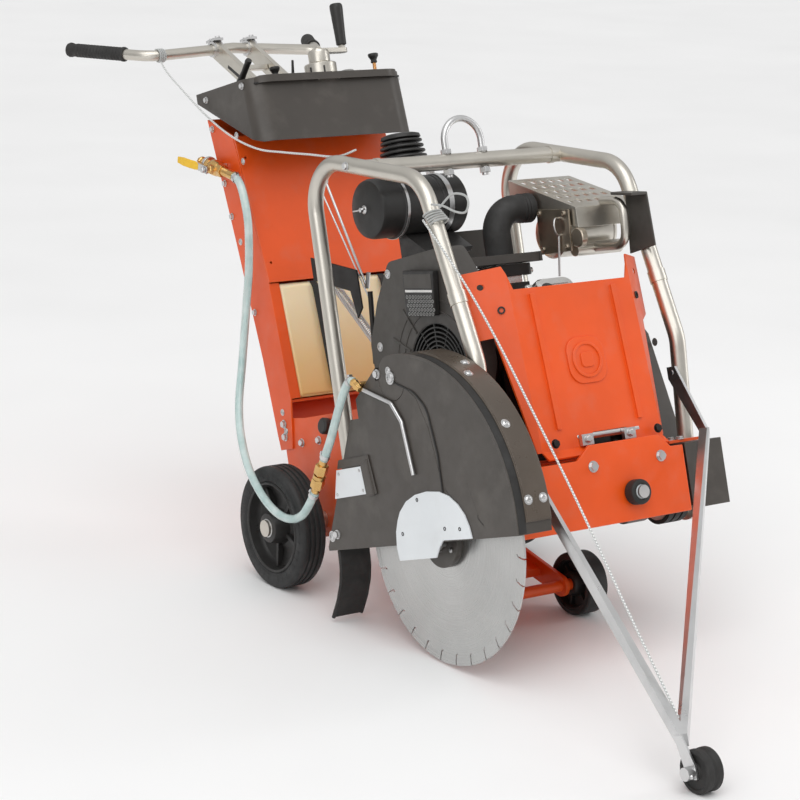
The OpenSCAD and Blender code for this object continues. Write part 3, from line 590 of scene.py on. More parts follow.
class Solid:
    """Gathers solids, then becomes one piece of the model."""

    def __init__(self):
        self.bm = bmesh.new()

    def mesh(self, points, faces, place=Matrix()):
        verts = [self.bm.verts.new(place @ Vector(p)) for p in points]
        for face in faces:
            self.bm.faces.new([verts[i] for i in face])
        return self

    def lathe(self, profile, place, sides=40, ring=False):
        """Turns (radius, height) points round local Z. A ring joins its last point to its first."""
        rings = []
        for r, z in profile:
            if r < 1e-6:
                rings.append([self.bm.verts.new(place @ Vector((0, 0, z)))])
                continue
            turn = [2 * math.pi * k / sides for k in range(sides)]
            rings.append([self.bm.verts.new(place @ Vector((r * math.cos(t), r * math.sin(t),
                                                            z))) for t in turn])
        pairs = list(zip(rings, rings[1:]))
        if ring:
            pairs.append((rings[-1], rings[0]))
        for low, high in pairs:
            for k in range(sides):
                n = (k + 1) % sides
                corners = [low[0]] if len(low) == 1 else [low[k], low[n]]
                corners += [high[0]] if len(high) == 1 else [high[n], high[k]]
                if len(corners) > 2:
                    self.bm.faces.new(corners)
        return self

    def prism(self, outline, t, place):
        """A flat outline with thickness t along local Z."""
        n = len(outline)
        points = [(u, v, 0) for u, v in outline] + [(u, v, t) for u, v in outline]
        faces = [list(range(n))[::-1], list(range(n, 2 * n))]
        faces += [[i, (i + 1) % n, n + (i + 1) % n, n + i] for i in range(n)]
        return self.mesh(points, faces, place)

    def pierced(self, outline, holes, t, place):
        """A flat outline with holes through it."""
        made = bmesh.new()
        for loop in (outline, *holes):
            verts = [made.verts.new((u, v, 0)) for u, v in loop]
            for i, v in enumerate(verts):
                made.edges.new((v, verts[(i + 1) % len(verts)]))
        bmesh.ops.triangle_fill(made, use_beauty=True, use_dissolve=True, edges=list(made.edges))
        grown = bmesh.ops.extrude_face_region(made, geom=list(made.faces), use_keep_orig=True)
        top = [g for g in grown["geom"] if isinstance(g, bmesh.types.BMVert)]
        bmesh.ops.translate(made, verts=top, vec=(0, 0, t))
        return self.take(made, place)

    def take(self, made, place=Matrix()):
        made.transform(place)
        mesh = bpy.data.meshes.new("part")
        made.to_mesh(mesh)
        made.free()
        self.bm.from_mesh(mesh)
        bpy.data.meshes.remove(mesh)
        return self

    def block(self, a, b, place=Matrix()):
        (x0, y0, z0), (x1, y1, z1) = a, b
        return self.prism([(x0, y0), (x1, y0), (x1, y1), (x0, y1)], z1 - z0, place @ flat_plane(z0))

    def rod(self, a, b, r, r_end=None, sides=24, rim=0.0):
        """A round bar between two points, with its ends chamfered by rim."""
        a, b = Vector(a), Vector(b)
        h, last = (b - a).length, r if r_end is None else r_end
        profile = [(0, 0), (r - rim, 0), (r, rim), (last, h - rim), (last - rim, h), (0, h)]
        if not rim:
            profile = [(0, 0), (r, 0), (last, h), (0, h)]
        return self.lathe(profile, along(a, b - a), sides)

    def tube(self, path, r, sides=16, closed=False, flat=1.0):
        """A round or oval tube swept along a path. r may be one radius or one for each point."""
        p = [Vector(q) for q in path]
        n = len(p)
        radii = r if isinstance(r, (list, tuple)) else [r] * n
        heading = []
        for i in range(n):
            before = p[i - 1] if closed or i else p[0]
            after = p[(i + 1) % n] if closed or i < n - 1 else p[-1]
            heading.append((after - before).normalized())
        side = Vector((1, 0, 0)) if abs(heading[0].x) < 0.9 else Vector((0, 1, 0))
        rings = []
        for i in range(n):
            side = (side - heading[i] * side.dot(heading[i])).normalized()
            up = heading[i].cross(side)
            turn = [2 * math.pi * k / sides for k in range(sides)]
            rings.append([self.bm.verts.new(p[i] + radii[i] * (side * math.cos(t) + up * flat * math.sin(t)))
                          for t in turn])
        pairs = list(zip(rings, rings[1:]))
        if closed:
            pairs.append((rings[-1], rings[0]))
        for low, high in pairs:
            for k in range(sides):
                m = (k + 1) % sides
                self.bm.faces.new((low[k], low[m], high[m], high[k]))
        if not closed:
            self.bm.faces.new(rings[0][::-1])
            self.bm.faces.new(rings[-1])
        return self

    def coil(self, a, b, r, wire, turns, steps=14):
        """A coil spring between two points."""
        place = along(a, Vector(b) - Vector(a))
        h = (Vector(b) - Vector(a)).length
        total = int(turns * steps)
        path = [place @ Vector((r * math.cos(2 * math.pi * i / steps), r * math.sin(2 * math.pi * i / steps),
                                h * i / total)) for i in range(total + 1)]
        return self.tube(path, wire, 6)

    def bolt(self, place, r=5.0, washer=True):
        """A hex head, chamfered, on a washer."""
        base = 0.0
        if washer:
            base = r * 0.28
            self.lathe([(0, 0), (r * 1.9, 0), (r * 1.9, base * 0.7), (r * 1.75, base), (0, base)], place, 24)
        top = base + r * 1.05
        self.lathe([(0, base), (r * 1.5, base), (r * 1.58, base + r * 0.12), (r * 1.58, top - r * 0.22),
                    (r * 1.3, top), (0, top)], place, 6)
        return self

    def dome(self, place, r=5.0):
        """A button head with a hex socket, on a thin washer."""
        self.lathe([(0, 0), (r * 1.9, 0), (r * 1.9, r * 0.18), (0, r * 0.18)], place, 24)
        self.lathe([(0, r * 0.25), (r * 0.55, r * 0.25), (r * 0.62, r * 0.8), (r * 1.0, r * 0.75),
                    (r * 1.4, r * 0.45), (r * 1.45, r * 0.18), (0, r * 0.18)], place, 24)
        return self

    def piece(self, name, body, slot, look=None, bevel=0.6, segments=2, smooth=35, subsurf=0, replaces=()):
        """Makes the piece: it rides on a body, takes a slot's finish, and may stand for CAD nodes."""
        bmesh.ops.recalc_face_normals(self.bm, faces=list(self.bm.faces))
        self.bm.transform(LEVEL)
        mesh = bpy.data.meshes.new(name)
        self.bm.to_mesh(mesh)
        self.bm.free()
        obj = bpy.data.objects.new(name, mesh)
        bpy.context.scene.collection.objects.link(obj)
        mesh.materials.append(look or LOOKS[slot])
        finish_edges(obj, bevel * MM, segments, smooth, subsurf)
        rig.ride(obj, body)
        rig.slot(obj, slot)
        if replaces:
            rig.replaces(obj, *replaces)
        return obj


def finish_edges(obj, width, segments=2, smooth=35, subsurf=0):
    """Rounds the edges of a piece and shades its flat faces flat."""
    obj.data.shade_smooth()
    if subsurf:
        round_it = obj.modifiers.new("round", "SUBSURF")
        round_it.levels = subsurf
        round_it.render_levels = subsurf
    if width:
        bevel = obj.modifiers.new("edges", "BEVEL")
        bevel.width = width
        bevel.segments = segments
        bevel.limit_method = "ANGLE"
        bevel.angle_limit = math.radians(smooth)
        bevel.use_clamp_overlap = True
        weight = obj.modifiers.new("shading", "WEIGHTED_NORMAL")
        weight.keep_sharp = True
    else:
        obj.data.set_sharp_from_angle(angle=math.radians(smooth))


# ---- cords ----

HOSE_R, ROPE_R = 9, 2.2
LONG_ROUTE = [(-222, 118, 900), (-224, 96, 882), (-230, 76, 840), (-236, 66, 780), (-242, 80, 690),
              (-248, 104, 610), (-262, 128, 500), (-290, 124, 400), (-318, 86, 325), (-346, 20, 250),
              (-360, -56, 184), (-366, -130, 150), (-368, -200, 152), (-367, -262, 196)]
SHORT_ROUTE = [(-367, -312, 258), (-366, -350, 300), (-362, -392, 360), (-358, -418, 394), (-356, -432, 405),
               (-356, -444, 404)]
REAR_ROPE = [(-200, 422, 1246), (-206, 380, 1190), (-216, 300, 1128), (-222, 200, 1050), (-224, 100, 985),
             (-224, 0, 940), (-224, -100, 915), (-226, -200, 893), (-236, -320, 868), (-250, -414, 866)]
FRONT_ROPE = [(-270, -640, 690), (-262, -730, 560), (-256, -800, 440), (-258, -880, 300), (-268, -990, 120),
              (-284, -1110, -80), (-298, -1230, -280)]


def length_of(path):
    return sum((b - a).length for a, b in zip(path, path[1:]))


def cord_tube(name, route, r, steps, slot):
    """A swept tube with UVs of length by turn, left without a parent."""
    path = [at(p) for p in smooth_route(route, steps)]
    sides = 12
    tube = Solid()
    tube.tube([LEVEL.inverted() @ p for p in path], r, sides)
    tube.bm.transform(LEVEL)
    mesh = bpy.data.meshes.new(name)
    tube.bm.to_mesh(mesh)
    tube.bm.free()
    layer = mesh.uv_layers.new(name="UVMap")
    run = [0.0]
    for a, b in zip(path, path[1:]):
        run.append(run[-1] + (b - a).length)
    for poly in mesh.polygons:
        turns = [mesh.loops[i].vertex_index % sides for i in poly.loop_indices]
        wraps = max(turns) - min(turns) > sides / 2
        for i in poly.loop_indices:
            v = mesh.loops[i].vertex_index
            turn = v % sides + (sides if wraps and v % sides == 0 else 0)
            layer.data[i].uv = (run[v // sides], turn / sides * 2 * math.pi * r * MM)
    mesh.shade_smooth()
    mesh.materials.append(LOOKS[slot])
    obj = bpy.data.objects.new(name, mesh)
    bpy.context.scene.collection.objects.link(obj)
    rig.slot(obj, slot)
    return obj, path


def hex_union(solid, a, b, r, across):
    """Two hex nuts and the collars between them, along a line."""
    a, b = Vector(a), Vector(b)
    place, h = along(a, b - a), (b - a).length
    solid.lathe([(0, 0), (r, 0), (r * 1.12, h * 0.04), (r, h * 0.08), (r * 1.12, h * 0.12), (r, h * 0.14),
                 (r, h), (0, h)], place, 24)
    for start, end in ((0.14, 0.42), (0.56, 0.86)):
        solid.lathe([(0, h * start), (across * 0.9, h * start), (across, h * (start + 0.04)),
                     (across, h * (end - 0.04)), (across * 0.9, h * end), (0, h * end)], place, 6)
    solid.lathe([(0, h * 0.44), (across * 0.95, h * 0.44), (across * 0.95, h * 0.54), (0, h * 0.54)], place,
                24)


def make_cords():
    coupling = Solid()
    hex_union(coupling, LONG_ROUTE[-1], SHORT_ROUTE[0], 8.6, 14)
    coupling = coupling.piece("hose_union", "chassis", "brass", bevel=0.4, replaces=["hose_coupling"])

    clamps = Solid()
    for a, b in ((LONG_ROUTE[0], LONG_ROUTE[1]), (LONG_ROUTE[-1], LONG_ROUTE[-2]),
                 (SHORT_ROUTE[0], SHORT_ROUTE[1]),
                 (SHORT_ROUTE[-1], SHORT_ROUTE[-2])):
        place = along(a, Vector(b) - Vector(a))
        clamps.lathe([(9.1, 5), (10.2, 5), (10.6, 6), (10.6, 13), (10.2, 14), (9.1, 14)], place, 24, ring=True)
        clamps.block((9, -4, 5.5), (14, 4, 13.5), place)
    clamps.piece("hose_clamps", "chassis", "zinc", bevel=0.3)

    hose, path = cord_tube("water_hose_long", LONG_ROUTE, HOSE_R, 6, "clear_hose")
    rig.ride(hose, "chassis")
    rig.replaces(hose, "hose_long")
    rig.cord(hose, exit=path[0], length=length_of(path), diameter=2 * HOSE_R * MM, far_end="fitting",
            stiffness="medium", lay="hanging", path=path, with_pieces=[coupling])
    hose, path = cord_tube("water_hose_short", SHORT_ROUTE, HOSE_R, 6, "clear_hose")
    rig.ride(hose, "chassis")
    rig.replaces(hose, "hose_short")
    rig.cord(hose, exit=path[0], length=length_of(path), diameter=2 * HOSE_R * MM, far_end="object",
            stiffness="medium", lay="hanging", path=path)
    rope, path = cord_tube("pointer_rope_rear", REAR_ROPE, ROPE_R, 8, "rope_white")
    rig.replaces(rope, "rope_rear")
    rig.blend(rope, "handlebar", "chassis", path[0], path[-1])
    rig.cord(rope, exit=path[0], length=length_of(path), diameter=2 * ROPE_R * MM, far_end="object",
            stiffness="limp", lay="hanging", path=path)
    rope, path = cord_tube("pointer_rope_front", FRONT_ROPE, ROPE_R, 10, "rope_white")
    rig.replaces(rope, "rope_front")
    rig.blend(rope, "chassis", "pointer", path[0], path[-1])
    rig.cord(rope, exit=path[0], length=length_of(path), diameter=2 * ROPE_R * MM, far_end="object",
            stiffness="limp", lay="taut", path=path)


make_cords()

# ---- CAD nodes that stay: finish and edges ----

EDGE_WIDTH = {
    "chassis_frame": 1.2, "front_beam": 1.6, "belt_guard": 1.2, "column": 1.0, "column_cover": 1.2,
    "front_cover": 1.3, "lift_arm": 2.0, "guard_rear": 0.9, "guard_front": 0.9, "flange_cover": 0.8,
    "guard_plate": 0.5, "muffler_guard": 0.7, "pointer_frame": 0.8, "blade_flanges": 1.0,
    "shaft_bearings": 1.5, "fasteners": 0.4, "lifting_eye": 0.5,
}


def dress_cad_nodes():
    for row in frame["record"]["subparts"]:
        node = frame["nodes"][row["node"]]
        node.data.materials.clear()
        node.data.materials.append(LOOKS[row["material_slot"]])
        width = EDGE_WIDTH.get(row["node"])
        if not width:
            continue
        weld = node.modifiers.new("weld", "WELD")
        weld.merge_threshold = 0.00002
        flat = node.modifiers.new("flat_faces", "DECIMATE")
        flat.decimate_type = "DISSOLVE"
        flat.angle_limit = math.radians(0.6)
        finish_edges(node, width * MM, 2, 32)


dress_cad_nodes()

# ---- blade ----


def make_blade():
    """Core with thin hooked gullets, and sintered segments a little thicker than it."""
    count, rim, core, depth = 30, 250.0, 245.0, 227.0
    slot = 1.5
    hook = [(depth + 5, -slot - 1.6), (depth + 1, -slot - 5.5), (depth - 1.8, -slot - 4.4),
            (depth + 2.4, slot - 2.0)]
    outline, segments = [], []
    step = 2 * math.pi / count

    def polar(r, angle, across=0.0):
        return (SHAFT[0] + r * math.cos(angle) - across * math.sin(angle),
                SHAFT[1] + r * math.sin(angle) + across * math.cos(angle))

    for i in range(count):
        a = i * step
        edge = slot / core
        arc_points = [a + edge + (step - 2 * edge) * k / 6 for k in range(7)]
        outline += [polar(core, t) for t in arc_points]
        outline += [polar(r, a + step, across) for r, across in hook]
        segments.append([polar(rim, t) for t in arc_points] + [polar(239, t) for t in reversed(arc_points)])
    blade = Solid()
    blade.prism(outline, 3.6, side_plane(-301.8))
    for ring in segments:
        blade.prism(ring, 4.4, side_plane(-302.2))
    blade.piece("blade_disc", "blade", "blade_steel", bevel=0, smooth=30, replaces=["blade"])

    nut = Solid()
    nut.lathe([(0, 0), (24, 0), (26, 1.5), (26, 14), (22, 17), (0, 17)], on_left(-316, SHAFT), 6)
    nut.lathe([(0, 15), (12, 15), (12, 22), (10.5, 24), (0, 24)], on_left(-309, SHAFT), 32)
    for i in range(2):
        turn = math.pi * i + 0.6
        nut.lathe([(0, 0), (4.5, 0), (4.5, 3), (3.6, 4), (0, 4)],
                  on_left(-316, (SHAFT[0] + 42 * math.cos(turn), SHAFT[1] + 42 * math.sin(turn))), 24)
    nut.piece("arbor_nut", "blade", "zinc", bevel=0.5)


# ---- wheels ----


def tyre_profile(r, inner, half, shoulder, grooves=()):
    """Radius and height of a tyre's section, with grooves round its tread."""
    profile = [(inner, -half + 4), (inner + 6, -half), (r - shoulder - 8, -half),
               (r - shoulder - 5, -half + 1.5)]
    for k in range(5):
        t = math.radians(90 * k / 4)
        profile.append((r - shoulder + shoulder * math.sin(t), -half + 1.5 + shoulder * (1 - math.cos(t))))
    for g in grooves:
        profile += [(r, g - 3), (r - 4, g - 2), (r - 4, g + 2), (r, g + 3)]
    for k in range(5):
        t = math.radians(90 * (4 - k) / 4)
        profile.append((r - shoulder + shoulder * math.sin(t), half - 1.5 - shoulder * (1 - math.cos(t))))
    return profile + [(r - shoulder - 5, half - 1.5), (r - shoulder - 8, half), (inner + 6, half),
                      (inner, half - 4)]


def make_rear_wheels():
    for name, side in (("left", 1), ("right", -1)):
        middle = along((side * 299, 0, AXLE_Z), (side, 0, 0))
        tyre = Solid()
        tyre.lathe(tyre_profile(131, 98.2, 31, 9, (-12, 0, 12)), middle, 96, ring=True)
        for k in range(36):
            turn = middle @ Matrix.Rotation(math.radians(10 * k), 4, "Z")
            for face in (-1, 1):
                tyre.block((103, -1.6, face * 31 - 0.6), (116, 1.6, face * 31 + 0.4), turn)
        tyre.piece(f"rear_tread_{name}", f"rear_wheel_{name}", "tyre", bevel=0.5,
                   replaces=[f"rear_tyre_{name}"])

        rim = Solid()
        rim.lathe([(98, -28), (98, 28), (94, 30), (91, 28), (89, 10), (84, 2), (70, -2), (52, -3), (38, 3),
                   (34, 26), (31, 37), (24, 38), (13, 38), (13, -30), (32, -32), (36, -14), (52, -11),
                   (84, -7), (91, -20), (94, -30)], middle, 64, ring=True)
        for k in range(5):
            turn = middle @ Matrix.Rotation(math.radians(72 * k + 18), 4, "Z")
            rim.block((36, -4, -2), (88, 4, 12), turn)
            rim.block((36, -4, -18), (88, 4, -8), turn)
        rim.piece(f"rear_rim_{name}", f"rear_wheel_{name}", "black_plastic", bevel=1.2,
                  replaces=[f"rear_wheel_{name}"])

        hub = Solid()
        hub.lathe([(13, 36), (20, 36), (20, 38.5), (18, 39.5), (13, 39.5)], middle, 40, ring=True)
        hub.piece(f"rear_hub_washer_{name}", f"rear_wheel_{name}", "zinc", bevel=0.2)


def make_front_wheels():
    for name, side in (("left", 1), ("right", -1)):
        middle = along((side * 130, *FRONT_AXLE), (side, 0, 0))
        tyre = Solid()
        tyre.lathe(tyre_profile(66, 54, 26, 5), middle, 72, ring=True)
        tyre.piece(f"front_tread_{name}", f"front_wheel_{name}", "tyre", bevel=0.5)
        hub = Solid()
        hub.lathe([(54.5, -22), (54.5, 22), (52, 24), (50, 22), (48, 6), (28, 4), (24, 22), (21, 27), (13, 27),
                   (13, -27), (21, -27), (25, -20), (28, -5), (48, -6), (50, -22), (52, -24)], middle, 56,
                   ring=True)
        for k in range(6):
            turn = middle @ Matrix.Rotation(math.radians(60 * k + 30), 4, "Z")
            hub.block((24, -2.6, -14), (49, 2.6, 14), turn)
            spot = middle @ Matrix.Rotation(math.radians(60 * k), 4, "Z") @ Matrix.Translation((38, 0, 4))
            hub.lathe([(9.5, -1), (9.5, 2.2), (6.8, 2.2), (6.8, -1)], spot, 24, ring=True)
        hub.piece(f"front_hub_{name}", f"front_wheel_{name}", "black_plastic", bevel=0.7,
                  replaces=[f"front_wheel_{name}"])


def make_small_wheels():
    centre = along((30, -785.5, 110), (0, -1, 0))
    tyre = Solid()
    tyre.lathe([(9, 0), (21, 0), (24, 1.5), (25, 4), (25, 20), (24, 24), (21, 26), (15, 26), (14, 21),
                (9, 21)],
               centre, 56, ring=True)
    tyre.piece("bumper_tyre", "bumper_roller", "black_rubber", bevel=0.3, replaces=["bumper_roller"])
    hub = Solid()
    hub.lathe([(8.2, 19), (14.2, 19), (14.2, 24), (12.6, 26.5), (8.2, 26.5)], centre, 40, ring=True)
    hub.piece("bumper_hub", "bumper_roller", "white_metal", bevel=0.3)

    tip = on_x(-303, TIP)
    wheel = Solid()
    wheel.lathe([(6.3, -19), (14, -19), (16, -15), (30, -15), (32, -18), (36, -18.5), (39, -16), (39, -6),
                 (36.5, -2.5), (36.5, 2.5), (39, 6), (39, 15), (36, 17.5), (32, 17), (30, 14), (16, 14),
                 (14, 18), (6.3, 18)], tip, 64, ring=True)
    wheel.piece("pointer_tyre", "pointer_wheel", "black_rubber", bevel=0.4, replaces=["pointer_wheel"])

    knob = Solid()
    face = on_left(-327, TIP)
    knob.lathe([(0, 0), (11, 0), (12, 2), (12, 10), (9.5, 14), (0, 14)], face, 32)
    for side in (-1, 1):
        knob.lathe([(0, -3.5), (3.5, -3.5), (5, 0), (3.5, 3.5), (0, 3.5)],
                   along((-336, TIP[0] + side * 9, TIP[1] + side * 5), (-1, 0, 0)), 16)
    knob.piece("pointer_wing_knob", "pointer", "zinc", bevel=0.5)


# ---- tank, console, controls ----


def make_tank():
    outline = [(50, 404), (56, 398), (122, 398), (130, 406), (152, 560), (164, 640), (158, 648), (80, 652),
               (70, 644)]
    tank = Solid()
    tank.prism(outline, 347, side_plane(-173.5))
    tank.piece("tank_shell", "chassis", "cream_plastic", bevel=13, segments=6, smooth=20,
               replaces=["fuel_tank"])
    seam = Solid()
    path = [(-173.8, 62, 414), (-173.8, 116, 414), (-173.8, 126, 424), (-173.8, 148, 560), (-173.8, 157, 634),
            (-173.8, 86, 638), (-173.8, 78, 634), (-173.8, 62, 424)]
    for side in (1, -1):
        seam.tube([(x * side, y, z) for x, y, z in path], 1.6, 8, closed=True)
    seam.block((-168, 52.5, 399), (168, 56.5, 412))
    seam.piece("tank_mould_line", "chassis", "cream_plastic", bevel=0.8)
    strap = Solid()
    for x in (-96, 84):
        strap.prism([(46, 410), (66, 636), (74, 648), (74, 652), (62, 640), (42, 410)], 16, side_plane(x))
    strap.piece("tank_straps", "chassis", "black_rubber", bevel=1.0)


def console_skin():
    """Cowl: straight sides, a slanting front and large upright corners."""
    half, front, rear, r = 204, 2, 262, 46
    plan = [(half, rear), (-half, rear)]
    plan += [(x, y) for x, y in arc((-half + r, front + r), r, 180, 270, 8)]
    plan += [(x, y) for x, y in arc((half - r, front + r), r, 270, 360, 8)]
    lower = [(2, 958), (16, 958), (150, 1004), (246, 1056), (268, 1098)]

    def bottom(y):
        for (y0, z0), (y1, z1) in zip(lower, lower[1:]):
            if y <= y1:
                return z0 + (z1 - z0) * (y - y0) / (y1 - y0)
        return lower[-1][1]

    def top(y):
        return 1101 + 7 * (y - 10) / 252

    cowl = Solid()
    levels = 7
    rings = []
    for k in range(levels + 1):
        share = k / levels
        ring = []
        for x, y in plan:
            z = bottom(y) + (top(y) - bottom(y)) * share
            lean = (6 + 18 * share) * max(0.0, 1 - (y - front) / 120)
            ring.append(cowl.bm.verts.new((x, y + lean, z)))
        rings.append(ring)
    narrower, shorter = (half - 13) / half, (rear - front - 22) / (rear - front)
    rim = [cowl.bm.verts.new((x * narrower, front + 11 + (y - front) * shorter,
                              top(y) + 0.2)) for x, y in plan]
    lip = [cowl.bm.verts.new((v.co.x, v.co.y, v.co.z - 14)) for v in rim]
    rings += [rim, lip]
    n = len(plan)
    for low, high in zip(rings, rings[1:]):
        for i in range(n):
            j = (i + 1) % n
            cowl.bm.faces.new((low[i], low[j], high[j], high[i]))
    skin = cowl.piece("console_cowl", "chassis", "dark_paint", bevel=0, smooth=40, replaces=["console"])
    skin.modifiers.clear()
    shell = skin.modifiers.new("sheet", "SOLIDIFY")
    shell.thickness = 3 * MM
    shell.offset = -1
    finish_edges(skin, 2.2 * MM, 3, 30)


def make_console():
    console_skin()
    panel = Solid()
    panel.prism([(26, 1086), (26, 1090), (250, 1096), (250, 1092)], 379, side_plane(-189.5))
    panel.piece("control_panel", "chassis", "black_plastic", bevel=0.8, replaces=["console_panel"])

    collar = Solid()
    place = flat_plane(1088) @ Matrix.Translation((0, 52, 0))
    collar.lathe([(12.2, 0), (40, 0), (40, 4), (36, 6), (36, 38), (34, 40), (12.2, 40)], place, 48, ring=True)
    collar.piece("crank_collar", "chassis", "silver_metal", bevel=0.5)
    dark_slot = Solid()
    for turn in (200, 250, 20):
        t = math.radians(turn)
        spot = along((36 * math.cos(t), 52 + 36 * math.sin(t), 1108), (math.cos(t), math.sin(t), 0))
        dark_slot.prism(rounded_box(22, 4, 1.8, 3), 0.7, spot)
    dark_slot.piece("collar_slots", "chassis", "black_plastic", bevel=0.1)

    ears = Solid()
    ear = [(232, 1093), (282, 1094), (282, 1134), (262, 1142), (242, 1134)]
    for x in (52, -66):
        ears.prism(ear, 14, side_plane(x))
    for x in (66, -66):
        ears.bolt(on_x(x, HINGE) if x > 0 else on_left(x, HINGE), 5.5)
    ears.piece("handle_hinge_ears", "chassis", "silver_metal", bevel=1.5)

    gauge = Solid()
    for x, y, r in ((90, 120, 25), (-100, 84, 15), (150, 60, 13), (30, 150, 14)):
        gauge.lathe([(0, 0), (r, 0), (r, 8), (r - 2, 11), (r - 4, 11), (r - 4.5, 8), (0, 8)],
                    flat_plane(1090) @ Matrix.Translation((x, y, 1.5)), 40)
    gauge.prism(rounded_box(62, 30, 5), 9, flat_plane(1091) @ Matrix.Translation((-40, 170, 0)))
    for x in (-56, -40, -24):
        gauge.prism(rounded_box(11, 16, 2), 13, flat_plane(1092) @ Matrix.Translation((x, 170, 0)))
    gauge.piece("gauges_and_switches", "chassis", "black_plastic", bevel=0.6)
    dial = Solid()
    dial.lathe([(0, 0), (20, 0), (20, 0.8), (0, 0.8)], flat_plane(1099.4) @ Matrix.Translation((90, 120, 0)),
               40)
    for k in range(12):
        t = math.radians(30 * k)
        dial.block((13, -0.6, 0.7), (18, 0.6, 1.5),
                   flat_plane(1099.4) @ Matrix.Translation((90, 120, 0)) @ Matrix.Rotation(t, 4, "Z"))
    dial.piece("hour_dial", "chassis", "white_metal", bevel=0)
    key = Solid()
    key.lathe([(0, 0), (9, 0), (9, 4), (0, 4)], flat_plane(1099) @ Matrix.Translation((30, 150, 0)), 24)
    key.block((-1.2, -9, 3), (1.2, 9, 24), flat_plane(1099) @ Matrix.Translation((30, 150, 0)))
    key.piece("switch_key", "chassis", "zinc", bevel=0.4)
    stop = Solid()
    stop.lathe([(0, 0), (8, 0), (8, 10), (16, 12), (17, 16), (15, 20), (0, 21)],
               flat_plane(1091) @ Matrix.Translation((-150, 150, 0)), 40)
    stop.piece("stop_button", "chassis", "orange", bevel=0.3)

    thin = Solid()
    thin.rod((-52, 92, 1092), (-50, 84, 1145), 4, 2.6, rim=0.8)
    thin.piece("engage_stick", "chassis", "black_plastic", bevel=0)
    cap = Solid()
    cap.lathe([(0, 0), (17, 0), (18, 4), (18, 16), (14, 22), (0, 24)],
              flat_plane(1093) @ Matrix.Translation((84, 74, 0)), 8)
    cap.piece("vent_cap", "chassis", "black_plastic", look=GREY_CAP, bevel=1.5)


def make_knobs():
    for name, x, y, stem in (("throttle_knob", -100, 84, 6), ("choke_knob", 150, 60, 22)):
        place = flat_plane(0) @ Matrix.Translation((x, y, 0))
        rod = Solid()
        rod.lathe([(0, 1076), (4, 1076), (4, 1104 + stem), (0, 1104 + stem)], place, 24)
        rod.piece(f"{name}_stem", name, "brass", look=BRONZE, bevel=0)
        top = Solid()
        z = 1104 + stem
        top.lathe([(0, z), (6.5, z), (7.5, z + 2), (6.8, z + 7), (9.5, z + 12), (11.6, z + 15), (12, z + 19),
                   (11, z + 21.6), (0, z + 22)], place, 10)
        top.piece(f"{name}_grip", name, "black_plastic", bevel=1.2, segments=3, replaces=[name])


def make_handlebar():
    bar = Solid()
    ends = [(-324, 587, 1283.2), (-225, 404, 1226), (0, 412, 1240), (225, 404, 1226), (324, 587, 1283.2)]
    bar.tube(rounded(ends, 60, 10), 12.5, 28)
    bar.piece("handlebar_tube", "handlebar", "silver_metal", bevel=0, smooth=50, replaces=["handlebar"])

    arms = Solid()
    for x in (-51.5, 38.5):
        arms.prism([(248, 1112), (274, 1106), (428, 1224), (424, 1254), (400, 1254), (246, 1132)], 13,
                   side_plane(x))
    arms.block((-38, 330, 1172), (38, 352, 1184), Matrix())
    arms.piece("handle_arms", "handlebar", "silver_metal", bevel=1.6)
    slots = Solid()
    for x in (-51.7, 51.2):
        slots.prism([(290, 1140), (296, 1134), (362, 1184), (358, 1190)], 0.7, side_plane(x))
    slots.piece("handle_arm_slots", "handlebar", "black_plastic", bevel=0)
    clamps = Solid()
    for x in (-58, 34):
        clamps.lathe([(12.7, 0), (19, 0), (19, 24), (12.7, 24)], on_x(x, (412, 1239)), 32, ring=True)
        clamps.block((x, 392, 1256), (x + 24, 432, 1262))
        for y in (398, 426):
            clamps.bolt(along((x + 12, y, 1262), (0, 0, 1)), 3.6)
    clamps.piece("handle_clamps", "handlebar", "zinc", bevel=0.8)

    grips = Solid()
    for side in (-1, 1):
        a, b = Vector((side * 257, 463.4, 1244.6)), Vector((side * 330, 598, 1286.7))
        place, h = along(a, b - a), (b - a).length
        profile = [(12.8, 0), (16.2, 0), (17, 2), (17, 7), (15, 9)]
        for k in range(14):
            z = 12 + k * (h - 34) / 14
            profile += [(15, z), (15.8, z + 1), (15.8, z + 5.2), (15, z + 6.2)]
        profile += [(15, h - 16), (16.4, h - 12), (17, h - 6), (15, h - 1), (10, h), (0, h), (0, h - 6),
                    (12.8, h - 8)]
        grips.lathe(profile, place, 40, ring=True)
    grips.piece("rubber_grips", "handlebar", "black_rubber", bevel=0, smooth=40, replaces=["handle_grips"])
    knot = Solid()
    spot = Vector((-200, 404.8, 1227.5))
    for k in range(4):
        ring = along(spot + Vector((-6 + 4 * k, 0, 0)), (1, 0.03 * (k - 1), 0.05))
        path = [ring @ Vector((14.2 * math.cos(t), 14.2 * math.sin(t), 0))
                for t in (2 * math.pi * i / 28 for i in range(28))]
        knot.tube(path, 2.0, 8, closed=True)
    knot.piece("rope_knot_on_bar", "handlebar", "rope_white", bevel=0, smooth=80)


def make_clamp_lever():
    lever = Solid()
    lever.rod((-82, *HINGE), (82, *HINGE), 6, rim=0.6)
    lever.lathe([(0, 0), (13, 0), (13, 9), (11, 12), (0, 12)], on_left(-82, HINGE), 32)
    lever.piece("clamp_pin", "clamp_lever", "zinc", bevel=0.3)
    arm = Solid()
    arm.tube([(-90, 262, 1122), (-92, 248, 1132), (-94, 222, 1148), (-96, 196, 1166)], [10, 9, 7.5, 7.8], 20,
             flat=0.8)
    arm.lathe([(0, -6), (7, -5), (8, 0), (7, 5), (0, 6)], along((-96, 196, 1166), (0, -0.8, 0.6)), 20)
    arm.piece("clamp_handle", "clamp_lever", "black_plastic", bevel=0, smooth=60, replaces=["clamp_lever"])


